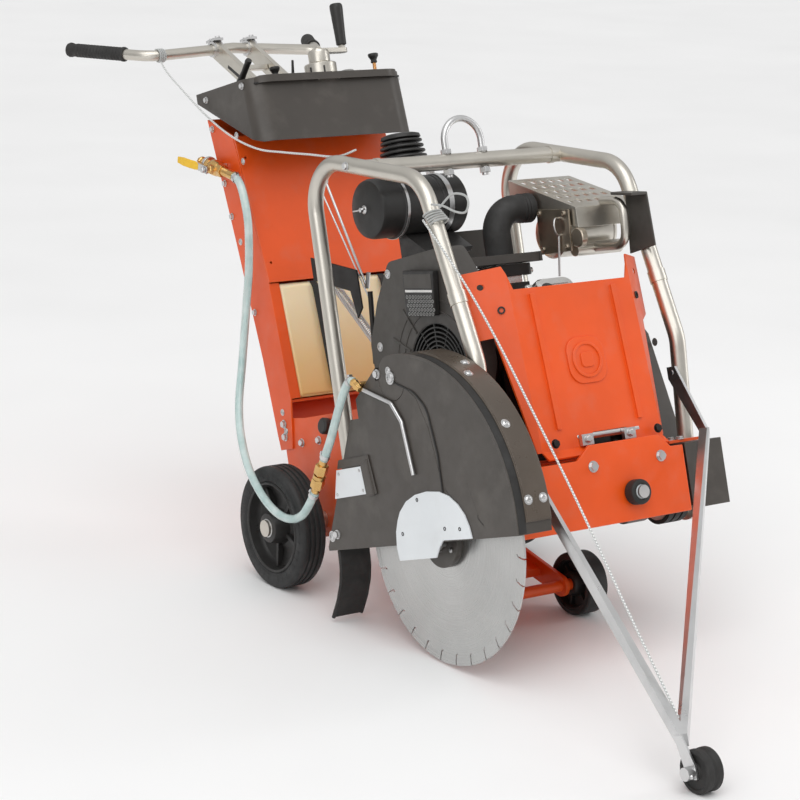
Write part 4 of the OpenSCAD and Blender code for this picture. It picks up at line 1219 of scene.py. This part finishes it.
def make_crank():
    crank = Solid()
    z_axis = Matrix.Translation((0, 52, 0))
    crank.lathe([(0, 1050), (11, 1050), (12, 1051), (12, 1128.4), (22, 1128.4), (24, 1131), (24, 1152),
                 (21, 1158),
                 (0, 1158)], z_axis, 48)
    hub = Matrix.Translation((0, 52, 1151))
    crank.prism(arc((0, 0), 15, 80, 280, 12) + arc((64, 0), 11, 280, 440, 12), 10, hub)
    crank.rod((64, 52, 1158), (64, 52, 1262), 5, rim=0.8)
    crank.bolt(Matrix.Translation((0, 52, 1161)), 5)
    crank.lathe([(0, 1158), (9, 1158), (9, 1166), (0, 1166)], Matrix.Translation((64, 52, 0)), 6)
    crank.piece("crank_arm", "lift_crank", "silver_metal", bevel=1.0, replaces=["lift_crank"])
    grip = Solid()
    grip.lathe([(5.3, 1168), (10.5, 1168), (11.5, 1170), (12, 1190), (13.6, 1225), (14.8, 1250), (14.4, 1258),
                (11.5, 1262), (5.3, 1262)], Matrix.Translation((64, 52, 0)), 12, ring=True)
    grip.piece("crank_handle", "crank_grip", "black_plastic", bevel=1.6, segments=3, replaces=["crank_grip"])


# ---- water supply and guard trim ----


def make_valve():
    a, b = Vector((-222, 250, 956)), Vector((-222, 118, 900))
    place, h = along(a, b - a, (1, 0, 0)), (b - a).length
    valve = Solid()
    valve.lathe([(0, 0), (11, 0), (12, 2), (12, 6), (10, 8), (10, 12), (12, 14), (12, 18), (10, 20), (10, 24)]
                + [(0, 24)], place, 32)
    valve.lathe([(0, 22), (15.5, 22), (17, 25), (17, 42), (15.5, 45), (0, 45)], place, 6)
    valve.lathe([(0, 44), (13, 44), (17, 52), (18, 62), (17, 74), (13, 82), (0, 82)], place, 40)
    valve.lathe([(0, 80), (14, 80), (15.5, 82), (15.5, 96), (14, 98), (0, 98)], place, 6)
    threads = [(0, 97)]
    for k in range(8):
        threads += [(10, 98 + 3 * k), (9, 99.5 + 3 * k)]
    valve.lathe(threads + [(9, 122), (10.4, 123), (10.4, h), (0, h)], place, 32)
    valve.lathe([(0, -9), (7, -9), (8.5, -7), (8.5, 0), (0, 0)], place, 6)
    valve.lathe([(4.3, 8), (11, 8), (11, 20), (9, 23), (4.3, 26)], on_left(-222, VALVE), 6, ring=True)
    valve.piece("ball_valve", "chassis", "brass", bevel=0.5, replaces=["water_valve"])
    clip = Solid()
    clip.block((-222, 176, 914), (-200.2, 196, 938))
    clip.lathe([(10.4, 30), (19, 30), (19, 38), (10.4, 38)], place, 32, ring=True)
    clip.piece("valve_bracket", "chassis", "zinc", bevel=1.0)


def make_valve_lever():
    """Handle beside the valve, cranked outward to clear it."""
    rise = math.radians(23)
    turn = along((-222, *VALVE), (-1, 0, 0), (0, math.cos(rise), math.sin(rise)))
    stem = Solid()
    stem.lathe([(0, 14), (4, 14), (4, 37), (0, 37)], turn, 24)
    stem.lathe([(0, 35), (7.5, 35), (7.5, 40), (6, 42), (0, 42)], turn, 6)
    stem.block((-10, -8, 31), (34, 8, 34.4), turn)
    stem.piece("lever_stem", "valve_lever", "zinc", bevel=0.5)
    lever = Solid()
    points, faces = [], []
    for along_lever, lift, half in ((26, 32, 7), (42, 33, 9.5), (58, 37, 9.5), (80, 40, 9.5), (101, 42, 7)):
        points += [(along_lever, -half, lift - 2), (along_lever, half, lift - 2),
                   (along_lever, half, lift + 3), (along_lever, -half, lift + 3)]
    for k in range(4):
        i = 4 * k
        faces += [[i + m, i + 4 + m, i + 4 + (m + 1) % 4, i + (m + 1) % 4] for m in range(4)]
    faces += [[0, 1, 2, 3], [19, 18, 17, 16]]
    lever.mesh(points, faces, turn)
    lever.piece("lever_sleeve", "valve_lever", "yellow_plastic", bevel=1.8, segments=3, smooth=25,
                replaces=["valve_lever"])


def make_guard_trim():
    face = -347.0
    tee = Solid()
    tee.rod((-349, -452, 395), (-330, -452, 395), 7, rim=0.6)
    a, b = Vector((-356, -444, 404)), Vector((-356, -466, 385))
    place, h = along(a, b - a), (b - a).length
    tee.lathe([(0, 0), (8, 0), (9, 2), (9, 8), (7.5, 9), (7.5, 12), (9, 13), (9, h - 8), (7, h - 6), (7, h),
               (0, h)],
              place, 6)
    tee.piece("guard_elbow", "chassis", "brass", bevel=0.4, replaces=["guard_tee"])

    rear = Solid()
    for y, z, r in ((-579, 396, 6.5), (-559, 412, 4.5), (-271, 102, 6)):
        if r != 6.5:
            rear.dome(on_left(face, (y, z)), r)
    rear.piece("guard_bolts_rear", "chassis", "zinc", bevel=0.3)
    hinge = Solid()
    hinge.lathe([(0, 0), (13, 0), (13, 2.5), (0, 2.5)], on_left(face, GUARD_HINGE), 40)
    hinge.dome(on_left(face - 2.2, GUARD_HINGE), 7)
    hinge.piece("guard_hinge_bolt", "chassis", "zinc", bevel=0.4)

    front = Solid()
    for x, degrees in ((-312, 126), (-292, 119), (-312, 150), (-318, 176), (-284, 176)):
        t = math.radians(degrees)
        point = (x, GUARD_CENTRE[0] + 334 * math.cos(t), GUARD_CENTRE[1] + 334 * math.sin(t))
        front.dome(along(point, (0, math.cos(t), math.sin(t))), 5)
    front.piece("guard_bolts_front", "guard_front", "zinc", bevel=0.3)

    rim = Solid()
    outer = arc(GUARD_CENTRE, 330.4, 100, 186.4, 48)
    inner = arc(GUARD_CENTRE, 325, 100, 186.4, 48)
    rim.prism(outer + inner[::-1], 2.0, side_plane(-349.0))
    rim.piece("guard_rim_front", "guard_front", "dark_paint", bevel=0.8)
    # Painted shade: a black strip laid on the arc where the gap between the guard's side plate and the fender falls
    # into shadow. It stands for that dark shadow band, not for a rubber seal.
    shadow_band = Solid()
    shadow_band.prism(arc(GUARD_CENTRE, 331.0, 104, 186.4, 48) + arc(GUARD_CENTRE, 329.6, 104, 186.4, 48)[::-1], 17,
                 side_plane(-346))
    shadow_band.piece("guard_painted_shadow_band", "guard_front", "black_rubber", bevel=0.3)
    fender = Solid()
    for low, high, top, foot in ((-329, -270.4, 333, 183), (-326, -273, 334.2, 182.4)):
        sheet = arc(GUARD_CENTRE, top, 101, foot, 44) + arc(GUARD_CENTRE, 329.8, 101, foot, 44)[::-1]
        fender.prism(sheet, high - low, side_plane(low))
    fender.piece("guard_fender", "guard_front", "dark_paint", look=FENDER, bevel=0.7)

    slit = Solid()
    path = [(-767, 179), (-788, 118), (-786, 112), (-802, 97)]
    for (y0, z0), (y1, z1) in zip(path, path[1:]):
        run = Vector((0, y1 - y0, z1 - z0))
        slit.block((-1.4, 0, 0), (1.4, 0.5, run.length), along((face, y0, z0), run, (0, 1, 0)))
    slit.piece("guard_slit", "guard_front", "black_rubber", bevel=0)

    seam = Solid()
    points = [(-348.2, -575, 388), (-348.2, -636, 364), (-348.2, -672, 330), (-348.2, -687, 240),
              (-348.2, -686, 166)]
    seam.tube(rounded(points, 60, 8), 1.8, 8)
    seam.piece("guard_seam", "chassis", "black_rubber", bevel=0, smooth=60)

    box = Solid()
    outside = [(-339, 254), (-448, 257), (-462, 178), (-420, 180)]
    box.prism(outside[:3] + [(-428, 176), (-421, 238), (-330, 236)], 4.4, side_plane(-351.4))
    box.prism([(-455, 176), (-428, 176), (-421, 238), (-446, 250)], 7, side_plane(-354))
    box.piece("plate_recess_frame", "chassis", "dark_paint", bevel=2.4, segments=3)
    cover = Solid()
    cover.prism([(-510, 43), (-506, 70), (-511, 100), (-522, 122), (-534, 138), (-560, 157), (-594, 168),
                 (-633, 172),
                 (-676, 169), (-705, 159), (-730, 142), (-748, 121), (-758, 97), (-762, 75), (-666, 76),
                 (-650, 62),
                 (-636, 44)], 3.6, side_plane(-350.9))
    cover.piece("flange_cover_plate", "chassis", "white_metal", bevel=0.6, replaces=["flange_cover"])
    rivets = Solid()
    for p in ((-334, 226), (-410, 228), (-414, 188), (-318, 185)):
        rivets.lathe([(0, 0), (3.4, 0), (3.0, 1.2), (1.8, 1.9), (0, 2.1)], on_left(-350, p), 20)
    rivets.piece("plate_rivets", "chassis", "zinc", bevel=0)
    studs = Solid()
    for p in ((-600, 158), (-534, 95), (-679, 98), (-728, 95)):
        studs.lathe([(0, -2), (3.9, -2), (3.9, 0.6), (2.4, 1.0), (2.0, -1), (0, -1)], on_left(-351, p), 20)
    studs.piece("cover_screws", "chassis", "black_metal", bevel=0.2)

    path = [(-286, 72.5), (-284, 36), (-274, 4), (-254, -30), (-226, -64)]
    line = rounded([(0, *p) for p in path], 60, 5)
    flap = Solid()
    thick, low, high = 7, -344, -273
    front_side = [(p.y, p.z) for p in line]
    back_side = [(p.y + thick, p.z + 1.5) for p in line]
    flap.prism(front_side + back_side[::-1], high - low, side_plane(low))
    for x in (low, high - 3):
        flap.tube([(x + 1.5, p.y + 3.5, p.z) for p in line], 4.2, 10)
    flap.piece("rubber_flap", "chassis", "black_rubber", bevel=0.8, replaces=["mud_flap"])

# ---- engine ----


def fin_stack(solid, place, width, depth, z0, z1, count, r=14):
    """Cooling fins: thin rounded plates round a barrel."""
    pitch = (z1 - z0) / count
    for i in range(count):
        solid.prism(rounded_box(width, depth, r, 4), pitch * 0.34, place @ flat_plane(z0 + pitch * i))


def make_engine():
    block = Solid()
    block.lathe([(0, -150), (70, -150), (84, -142), (88, -130), (88, 130), (84, 142), (70, 150), (0, 150)],
                on_x(0, CRANK), 56)
    for x in (-120, -60, 0, 60, 120):
        block.lathe([(86, -2.5), (91, -2.5), (91, 2.5), (86, 2.5)], on_x(x, CRANK), 56, ring=True)
    block.prism([(-628, 206), (-422, 206), (-430, 380), (-620, 380)], 236, side_plane(-118))
    block.prism(rounded_box(270, 250, 18), 10, Matrix.Translation((0, -525, 196)))
    for x in (-122, 122):
        for y in (-632, -418):
            block.bolt(Matrix.Translation((x, y, 206)), 6)
    block.rod((150, *CRANK), (190, *CRANK), 40, 36, 40, rim=2)
    for angle, x in ((48, 14), (-48, -34)):
        bank = Matrix.Translation((x, *CRANK)) @ Matrix.Rotation(math.radians(angle), 4, "X")
        block.prism(rounded_box(96, 84, 12), 74, bank @ flat_plane(58))
        fin_stack(block, bank, 122, 114, 70, 134, 8)
        block.prism(rounded_box(112, 100, 10), 24, bank @ flat_plane(134))
        for a in (-48, 48):
            for b in (-40, 40):
                block.bolt(bank @ Matrix.Translation((a, b, 158)), 4)
        block.rod(tuple(bank @ Vector((52, -30, 146))), tuple(bank @ Vector((88, -40, 150))), 9, 7, rim=1)
    block.block((-10, -500, 470), (70, -436, 560))
    block.prism(rounded_box(96, 84, 12), 24, Matrix.Translation((30, -466, 574)))
    block.piece("engine_castings", "chassis", "black_metal", bevel=1.2, replaces=["engine_block"])

    rails = Solid()
    rails.prism([(-520, 598), (-330, 612), (-330, 632), (-520, 618)], 5, side_plane(-92))
    rails.prism([(-520, 598), (-400, 606), (-400, 626), (-520, 618)], 5, side_plane(92))
    rails.block((-92, -516, 600), (97, -511, 618))
    rails.block((-70, -340, 620), (90, -332, 690))
    for p in ((-500, 609), (-420, 615), (-350, 620)):
        rails.dome(on_left(-92, p), 4.5)
    rails.piece("engine_brackets", "chassis", "dark_paint", look=SHROUD, bevel=1.2)
    carb = Solid()
    carb.prism(rounded_box(70, 60, 10), 40, Matrix.Translation((30, -466, 560)))
    carb.rod((-20, -450, 582), (-52, -446, 586), 13, 11, rim=1.5)
    carb.rod((64, -480, 580), (92, -486, 584), 8, 6, rim=1)
    for a in (-28, 28):
        for b in (-22, 22):
            carb.bolt(Matrix.Translation((30 + a, -466 + b, 600)), 3.2)
    carb.piece("carburettor", "chassis", "bright_alloy", bevel=1.5)

    rocker = Solid()
    for angle, x in ((48, 14), (-48, -34)):
        bank = Matrix.Translation((x, *CRANK)) @ Matrix.Rotation(math.radians(angle), 4, "X")
        rocker.prism(rounded_box(108, 88, 14), 8, bank @ flat_plane(159))
        rings = []
        for z, grow, r in ((167, 0, 20), (178, -2, 20), (188, -8, 18), (193, -18, 15)):
            outline = rounded_box(96 + grow, 78 + grow, r, 6)
            rings.append([rocker.bm.verts.new(bank @ Vector((u, v, z))) for u, v in outline])
        for low, high in zip(rings, rings[1:]):
            for i in range(len(low)):
                j = (i + 1) % len(low)
                rocker.bm.faces.new((low[i], low[j], high[j], high[i]))
        rocker.bm.faces.new(rings[-1])
        rocker.bm.faces.new(rings[0][::-1])
        for k in (-1, 0, 1):
            rocker.prism(rounded_box(52, 4, 1.8, 3), 3.2, bank @ Matrix.Translation((4, 14 * k, 191.5)))
        for a in (-46, 46):
            for b in (-36, 36):
                rocker.bolt(bank @ Matrix.Translation((a, b, 167)), 3.4)
    rocker.piece("rocker_castings", "chassis", "bright_alloy", bevel=2.2, segments=3, smooth=28,
                 replaces=["rocker_covers"])
    cap = Solid()
    for angle, x in ((48, 14), (-48, -34)):
        bank = Matrix.Translation((x, *CRANK)) @ Matrix.Rotation(math.radians(angle), 4, "X")
        cap.lathe([(0, 188), (14, 188), (14, 196), (12, 199), (0, 199)],
                  bank @ Matrix.Translation((-30, 0, 0)), 12)
        cap.block((-36, -4, 198), (-24, 4, 202), bank)
    cap.piece("oil_caps", "chassis", "black_plastic", bevel=0.8)


def make_fan_housing():
    outline = [(-300, 335), (-296, 480), (-340, 560), (-400, 636), (-600, 640), (-652, 560), (-656, 400),
               (-620, 320), (-560, 280), (-380, 280)]
    shroud = Solid()
    corners = [(0, *p) for p in outline + [outline[0]]]
    loop = [(p.y, p.z) for p in rounded(corners, 26, 4)]
    hole = arc(CRANK, 96, 0, 354, 59)
    shroud.pierced(loop[:-1], [hole], 50, side_plane(-204))
    for r, w in ((118, 3), (140, 3)):
        shroud.lathe([(r, 0), (r, 3.5), (r + w, 3.5), (r + w, 0)], on_left(-202, CRANK), 96, ring=True)
    for degrees in (35, 60, 200, 225):
        t = math.radians(degrees)
        place = on_left(-203, CRANK) @ Matrix.Rotation(t, 4, "Z")
        shroud.block((100, -2, 0), (165, 2, 4), place)
    shroud.piece("fan_shroud", "chassis", "black_plastic", look=SHROUD, bevel=2.0, segments=3,
                 replaces=["fan_housing"])
    grille = Solid()
    place = on_left(-196, CRANK)
    for r in range(22, 100, 9):
        grille.lathe([(r, 0), (r + 3.4, 0), (r + 3.4, 7), (r, 7)], place, 72, ring=True)
    for k in range(12):
        grille.block((20, -1.8, 0), (98, 1.8, 5), place @ Matrix.Rotation(math.radians(30 * k), 4, "Z"))
    grille.lathe([(0, 0), (24, 0), (24, 8), (20, 10), (0, 10)], place, 48)
    grille.piece("fan_grille", "chassis", "black_plastic", bevel=0.5)
    backing = Solid()
    backing.lathe([(0, -30), (97, -30), (97, -26), (0, -26)], place, 48)
    backing.piece("fan_disc", "chassis", "black_metal", bevel=0)
    screws = Solid()
    for p in ((-330, 470), (-640, 470), (-600, 330), (-380, 300), (-395, 612), (-590, 620)):
        screws.dome(on_left(-204, p), 5)
    screws.piece("shroud_screws", "chassis", "zinc", bevel=0.2)

    name_box = Solid()
    name_box.prism([(-470, 610), (-462, 520), (-560, 508), (-574, 596)], 17, side_plane(-221))
    name_box.piece("engine_plate_housing", "chassis", "black_plastic", bevel=4, segments=4)
    inset = Solid()
    inset.prism([(-476, 602), (-473, 574), (-566, 562), (-569, 590)], 1.2, side_plane(-222))
    inset.piece("engine_plate_blank", "chassis", "black_plastic", look=SHROUD, bevel=0.6)
    strip = Solid()
    strip.prism([(-474, 571), (-474, 566), (-566, 554), (-566, 559)], 1.4, side_plane(-222))
    strip.piece("engine_plate_strip", "chassis", "bright_alloy", bevel=0.3)
    mesh = Solid()
    for row in range(5):
        for col in range(9):
            y = -478 - 10 * col - (5 if row % 2 else 0)
            z = 556 - 8.5 * row - (-478 - y) * 0.13
            mesh.lathe([(2.6, 0), (3.9, 0), (3.9, 1.6), (2.6, 1.6)], on_left(-220.6, (y, z)), 6, ring=True)
    mesh.piece("engine_plate_grille", "chassis", "black_plastic", look=GREY_CAP, bevel=0)


def make_intake():
    can = Solid()
    left = on_left(20, FILTER)
    can.lathe([(0, 0), (56, 0), (62, 6), (62, 60), (60, 62), (60, 66), (62, 68), (62, 150), (65, 152),
               (65, 160),
               (62, 162), (62, 205), (59, 214), (50, 219), (30, 222), (0, 223)], left, 64)
    can.prism([(-330, 692), (-356, 692), (-420, 650), (-410, 641), (-330, 641)], 120, side_plane(-120))
    can.piece("filter_canister", "chassis", "black_plastic", bevel=1.0, smooth=28, replaces=["air_filter"])
    band = Solid()
    band.lathe([(62.2, 40), (64, 40), (64, 52), (62.2, 52)], left, 64, ring=True)
    band.lathe([(65.2, 153), (66.4, 153), (66.4, 159), (65.2, 159)], left, 64, ring=True)
    band.block((60, -6, 39), (70, 6, 53), left)
    band.piece("filter_bands", "chassis", "zinc", bevel=0.4)
    wing = Solid()
    wing.lathe([(0, 221), (9, 221), (9, 224), (5, 228), (5, 234), (0, 236)], left, 24)
    for side in (-1, 1):
        wing.tube([tuple(left @ Vector((0, side * 3, 230))), tuple(left @ Vector((0, side * 12, 233))),
                   tuple(left @ Vector((0, side * 18, 240)))], [3.5, 4.5, 3], 12, flat=0.5)
    wing.piece("filter_wing_nut", "chassis", "zinc", bevel=0.3)

    cap = Solid()
    place = Matrix.Translation((-88, FILTER[0], 0))
    cap.lathe([(0, 806), (26, 806), (26, 846), (34, 850), (0, 850)], place, 48)
    profile = [(0, 848)]
    for k in range(4):
        z = 848 + 11 * k
        profile += [(30, z), (49 - 2 * k, z + 1.5), (50 - 2 * k, z + 3.5), (49 - 2 * k, z + 6.5), (30, z + 8)]
    cap.lathe(profile + [(42, 892), (40, 899), (30, 902), (0, 902)], place, 48)
    cap.piece("dust_cap", "chassis", "black_plastic", bevel=0.5, smooth=28, replaces=["precleaner"])
    nut = Solid()
    nut.lathe([(0, 806), (30, 806), (31, 808), (31, 822), (0, 822)], place, 48)
    nut.piece("dust_cap_band", "chassis", "zinc", bevel=0.4)

    elbow = Solid()
    path = [(30, -466, 600), (30, -466, 640), (30, -466, 650)]
    bend = [(30 + 52 - 52 * math.cos(t), -466, 662 + 52 * math.sin(t))
            for t in (math.radians(90 * i / 12) for i in range(13))]
    route = path + bend + [(92, -466, 714), (96, -466, 714), (100, -466, 714), (104, -466, 714),
                           (108, -466, 714),
                           (112, -466, 714), (122, -466, 714)]
    radii = [29] * (len(route) - 6) + [31, 28, 31, 28, 31, 31]
    elbow.tube(route, radii, 32)
    elbow.prism(rounded_box(84, 76, 16), 7, Matrix.Translation((30, -466, 600)))
    elbow.piece("intake_hose", "chassis", "black_rubber", bevel=0.6, smooth=50, replaces=["intake_elbow"])
    screws = Solid()
    for a in (-34, 34):
        for b in (-30, 30):
            screws.dome(Matrix.Translation((30 + a, -466 + b, 607)), 3.6)
    screws.piece("intake_screws", "chassis", "zinc", bevel=0.2)

    ring = Solid()
    spot = Matrix.Translation((116, -560, 660)) @ Matrix.Rotation(math.radians(20), 4, "Z")
    ring.tube([tuple(spot @ Vector((13 * math.cos(t), 0, 18 * math.sin(t))))
               for t in (2 * math.pi * i / 28 for i in range(28))], 2.0, 10, closed=True)
    ring.rod((116, -560, 642), (112, -548, 560), 2.4)
    ring.piece("dipstick", "chassis", "zinc", bevel=0, smooth=60)


def make_exhaust():
    drum = Solid()
    spot = on_x(136, (-500, 652))
    drum.lathe([(0, 0), (40, 0), (47, 3), (50, 8), (51.5, 9), (51.5, 13), (50, 14), (50, 134), (51.5, 135),
                (51.5, 139), (50, 140), (47, 145), (40, 148), (0, 148)], spot, 64)
    drum.rod((150, -560, 610), (270, -560, 610), 14, rim=1)
    drum.rod((262, -600, 660), (284, -640, 660), 13, 13, rim=1)
    drum.piece("muffler_drum", "chassis", "silver_metal", bevel=0.6, smooth=28, replaces=["muffler"])
    plate = Solid()
    plate.prism([(-492, 706), (-486, 612), (-588, 606), (-596, 690)], 4, side_plane(120))
    for p in ((-500, 696), (-580, 684), (-496, 622), (-576, 616)):
        plate.dome(on_left(120, p), 4)
    plate.rod((121, -610, 630), (136, -610, 630), 20, 20, rim=2)
    plate.piece("heat_plate", "chassis", "silver_metal", look=TAN_STEEL, bevel=1.5)
    loop = Solid()
    loop.tube(rounded([(200, -560, 610), (200, -668, 600), (200, -676, 690), (200, -610, 700)], 34, 6), 9, 20)
    loop.piece("exhaust_pipe", "chassis", "silver_metal", bevel=0, smooth=50)
    bracket = Solid()
    bracket.prism([(-652, 712), (-718, 700), (-722, 590), (-640, 584)], 4, side_plane(228))
    bracket.prism([(-652, 712), (-718, 700), (-718, 694), (-652, 706)], 40, side_plane(190))
    bracket.piece("muffler_bracket", "chassis", "dark_paint", look=SHROUD, bevel=1.5)


def make_linkage():
    rods = Solid()
    rods.rod((-150, -134, 840), (-150, -232, 600), 2.6)
    rods.rod((-160, -120, 836), (-160, -250, 575), 1.7)
    rods.tube([(-150, -134 + 7 * math.cos(t), 846 + 11 * math.sin(t)) for t in
               (2 * math.pi * i / 20 for i in range(20))], 1.5, 8, closed=True)
    rods.lathe([(0, 0), (4.5, 0), (4.5, 34), (0, 34)], along((-150, -232, 600), (0, -98, 240)), 6)
    rods.rod((-160, -290, 575), (-130, -250, 575), 4)
    rods.piece("throttle_rods", "chassis", "zinc", bevel=0, smooth=50)
    spring = Solid()
    spring.coil((-158, -100, 645), (-158, -262, 470), 8.5, 1.5, 46)
    spring.piece("belt_spring", "chassis", "zinc", bevel=0, smooth=60)
    plate = Solid()
    plate.prism([(-60, 690), (-230, 640), (-232, 560), (-210, 540), (-196, 600), (-60, 640)], 4,
                side_plane(-170))
    plate.rod((-166, -262, 470), (-150, -262, 470), 8)
    plate.rod((-168, -268, 590), (-168, -250, 440), 5.5)
    plate.piece("linkage_plate", "chassis", "black_metal", bevel=0.8)
    cap = Solid()
    spot = along((-196, -83, 326), (-1, 0, 0.15))
    cap.lathe([(0, 0), (15, 0), (15, 5), (18, 7), (18, 20), (14, 23), (0, 23)], spot, 12)
    cap.piece("filler_cap_small", "chassis", "black_plastic", bevel=1.2)
    loop = Solid()
    path = [(-262, -690, 706), (-262, -735, 724), (-264, -778, 716), (-266, -790, 700), (-266, -776, 684),
            (-264, -742, 690), (-262, -700, 708), (-262, -664, 716)]
    loop.tube(smooth_route(path, 6), 2.2, 10)
    for k in range(5):
        t = along((-250, -646 - 5 * k, 700 - 17 * k * 0.28), (0, -0.25, -0.97))
        loop.tube([tuple(t @ Vector((17.7 * math.cos(a), 17.7 * math.sin(a), 0)))
                   for a in (2 * math.pi * i / 28 for i in range(28))], 2.1, 8, closed=True)
    loop.piece("rope_loop", "chassis", "rope_white", bevel=0, smooth=80)


# ---- frame trim ----


def make_hoop_trim():
    sleeves = Solid()
    for side in (-1, 1):
        a, b = Vector((side * 250, -628, 772)), Vector((side * 250, -722, 400))
        for share, h in ((0.62, 26),):
            p = a + (b - a) * share
            sleeves.lathe([(16.6, 0), (18.3, 0.6), (18.3, h - 0.6), (16.6, h)], along(p, b - a), 40, ring=True)
    for x in (-226, 214):
        sleeves.lathe([(16.6, 0), (18.2, 0.5), (18.2, 11), (16.6, 12)], on_x(x, (-437, 825.2)), 40, ring=True)
    sleeves.piece("hoop_sleeves", "chassis", "silver_metal", bevel=0, smooth=40)
    bolts = Solid()
    for side in (-1, 1):
        for y in (-226, -702):
            for dy in (-14, 14):
                bolts.bolt(Matrix.Translation((side * 222, y + dy, 196)), 5)
        bolts.bolt(along((side * 266.5, -395, 837), (side, 0, 0)), 5)
        bolts.bolt(along((side * 266.5, -722 + 8, 370), (side, 0, 0)), 4.5)
    bolts.piece("hoop_bolts", "chassis", "zinc", bevel=0.3)


def make_front_trim():
    lean = Matrix.Translation((0, -752, 212)) @ Matrix.Rotation(math.radians(-5.5), 4, "X") @ front_plane(0)
    badge = Solid()
    spot = lean @ Matrix.Translation((0, 168, 0))
    badge.prism(rounded_box(92, 92, 30, 8), 3.2, spot)
    badge.lathe([(30, 3), (36, 3), (36, 6), (30, 6)], spot, 56, ring=True)
    badge.prism(rounded_box(30, 30, 8, 4), 2.6, spot @ flat_plane(3.2))
    badge.piece("blank_badge", "chassis", "orange", bevel=1.6, segments=3)
    holes = Solid()
    for x in (-168, 168):
        holes.lathe([(4.5, -4), (7.5, -4), (7.5, 3.6), (4.5, 3.6)],
                    Matrix.Translation((0, -752, 212)) @ Matrix.Rotation(math.radians(-5.5), 4, "X")
                    @ along((x, 14, 286), (0.55 * (1 if x > 0 else -1), -1, 0)), 24, ring=True)
    holes.piece("cover_grommets", "chassis", "black_rubber", bevel=0.3)
    bolts = Solid()
    for x in (-128, 128):
        bolts.bolt(along((x, -767, 226), (0, -1, 0.1)), 5)
    bolts.piece("cover_bolts", "chassis", "black_metal", bevel=0.3)
    bar = Solid()
    bar.rod((-60, -744, 232), (96, -744, 232), 7, rim=1)
    bar.piece("drain_pipe", "chassis", "zinc", bevel=0)
    nuts = Solid()
    for x in (-44, 62):
        nuts.block((x - 14, -762, 214), (x + 14, -752, 236))
        nuts.bolt(along((x, -762, 226), (0, -1, 0)), 4.5)
    nuts.piece("drain_clips", "chassis", "zinc", bevel=0.6)


def make_column_trim():
    bolts = Solid()
    for side in (-1, 1):
        for p in ((120, 990), (108, 930), (168, 760), (96, 372), (92, 330)):
            bolts.dome(along((side * 200, *p), (side, 0, 0)), 4)
        for y in (-30, 40):
            bolts.bolt(along((side * 195.8, y, 300), (side, 0, 0)), 5)
        bolts.bolt(along((side * 195.8, -560, 160), (side, 0, 0)), 5)
        bolts.bolt(along((side * 195.8, -300, 160), (side, 0, 0)), 5)
    for p in ((-740, 90), (-700, 160), (-600, 400), (-510, 430), (-550, 120), (-640, 60 + 100)):
        bolts.dome(on_x(292, p), 4.5)
    bolts.piece("frame_screws", "chassis", "zinc", bevel=0.3)


for make in (make_blade, make_rear_wheels, make_front_wheels, make_small_wheels, make_tank, make_console,
             make_knobs, make_handlebar, make_clamp_lever, make_crank, make_valve, make_valve_lever,
             make_guard_trim, make_engine, make_fan_housing, make_intake, make_exhaust, make_linkage,
             make_hoop_trim, make_front_trim, make_column_trim):
    make()

# ---- studio ----


def make_floor():
    size = 30.0
    mesh = bpy.data.meshes.new("floor")
    mesh.from_pydata([(-size, -size, 0), (size, -size, 0), (size, size, 0), (-size, size, 0)], [],
                     [(0, 1, 2, 3)])
    floor = bpy.data.objects.new("floor", mesh)
    bpy.context.scene.collection.objects.link(floor)
    look = Look("floor", 0.75)
    look.colour(look.ramp(look.noise(0.6, 3), [(0.3, (0.90, 0.90, 0.90)), (0.7, (0.93, 0.93, 0.93))]))
    look.roughness(look.levels(look.noise(2, 3), 0.3, 0.7, 0.6, 0.85))
    mesh.materials.append(look.mat)
    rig.stage(floor)


def make_area(name, place, target, size, power):
    data = bpy.data.lights.new(name, "AREA")
    data.shape = "RECTANGLE"
    data.size, data.size_y = size
    data.energy = power
    light = bpy.data.objects.new(name, data)
    bpy.context.scene.collection.objects.link(light)
    light.location = place
    light.rotation_mode = "QUATERNION"
    light.rotation_quaternion = (Vector(target) - Vector(place)).to_track_quat("-Z", "Y")


def make_sky_panel():
    data = bpy.data.lights.new("overhead", "SUN")
    data.energy = 1.15
    data.angle = math.radians(55)
    light = bpy.data.objects.new("overhead", data)
    bpy.context.scene.collection.objects.link(light)
    light.rotation_mode = "QUATERNION"
    light.rotation_quaternion = Vector((0.30, 0.42, -1.0)).to_track_quat("-Z", "Y")


def make_world():
    world = bpy.data.worlds.new("studio")
    bpy.context.scene.world = world
    world.use_nodes = True
    tree = world.node_tree
    tree.nodes.clear()
    coords = tree.nodes.new("ShaderNodeTexCoord")
    split = tree.nodes.new("ShaderNodeSeparateXYZ")
    ramp = tree.nodes.new("ShaderNodeValToRGB")
    back = tree.nodes.new("ShaderNodeBackground")
    out = tree.nodes.new("ShaderNodeOutputWorld")
    stops = [(0.0, 0.50), (0.12, 0.62), (0.40, 0.92), (0.80, 1.0)]
    while len(ramp.color_ramp.elements) < len(stops):
        ramp.color_ramp.elements.new(0.5)
    for element, (place, value) in zip(ramp.color_ramp.elements, stops):
        element.position = place
        element.color = (value, value, value, 1)
    back.inputs["Strength"].default_value = 0.66
    tree.links.new(coords.outputs["Generated"], split.inputs[0])
    tree.links.new(split.outputs["Z"], ramp.inputs["Fac"])
    tree.links.new(ramp.outputs["Color"], back.inputs["Color"])
    tree.links.new(back.outputs["Background"], out.inputs["Surface"])


make_floor()
make_world()
make_sky_panel()
make_area("front_left", (-4.2, -2.6, 2.6), (0, 0, 0.5), (3.0, 2.2), 40)
make_area("right_strip", (3.2, -1.4, 1.6), (0, 0, 0.6), (0.8, 2.4), 22)
bpy.context.scene.view_settings.view_transform = "Standard"

low, high = CAD_BOX
new_low, new_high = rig.bounds()
with open("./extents.json", "w") as out:
    json.dump({"cad": [list(low), list(high)], "visual": [list(new_low), list(new_high)]}, out)
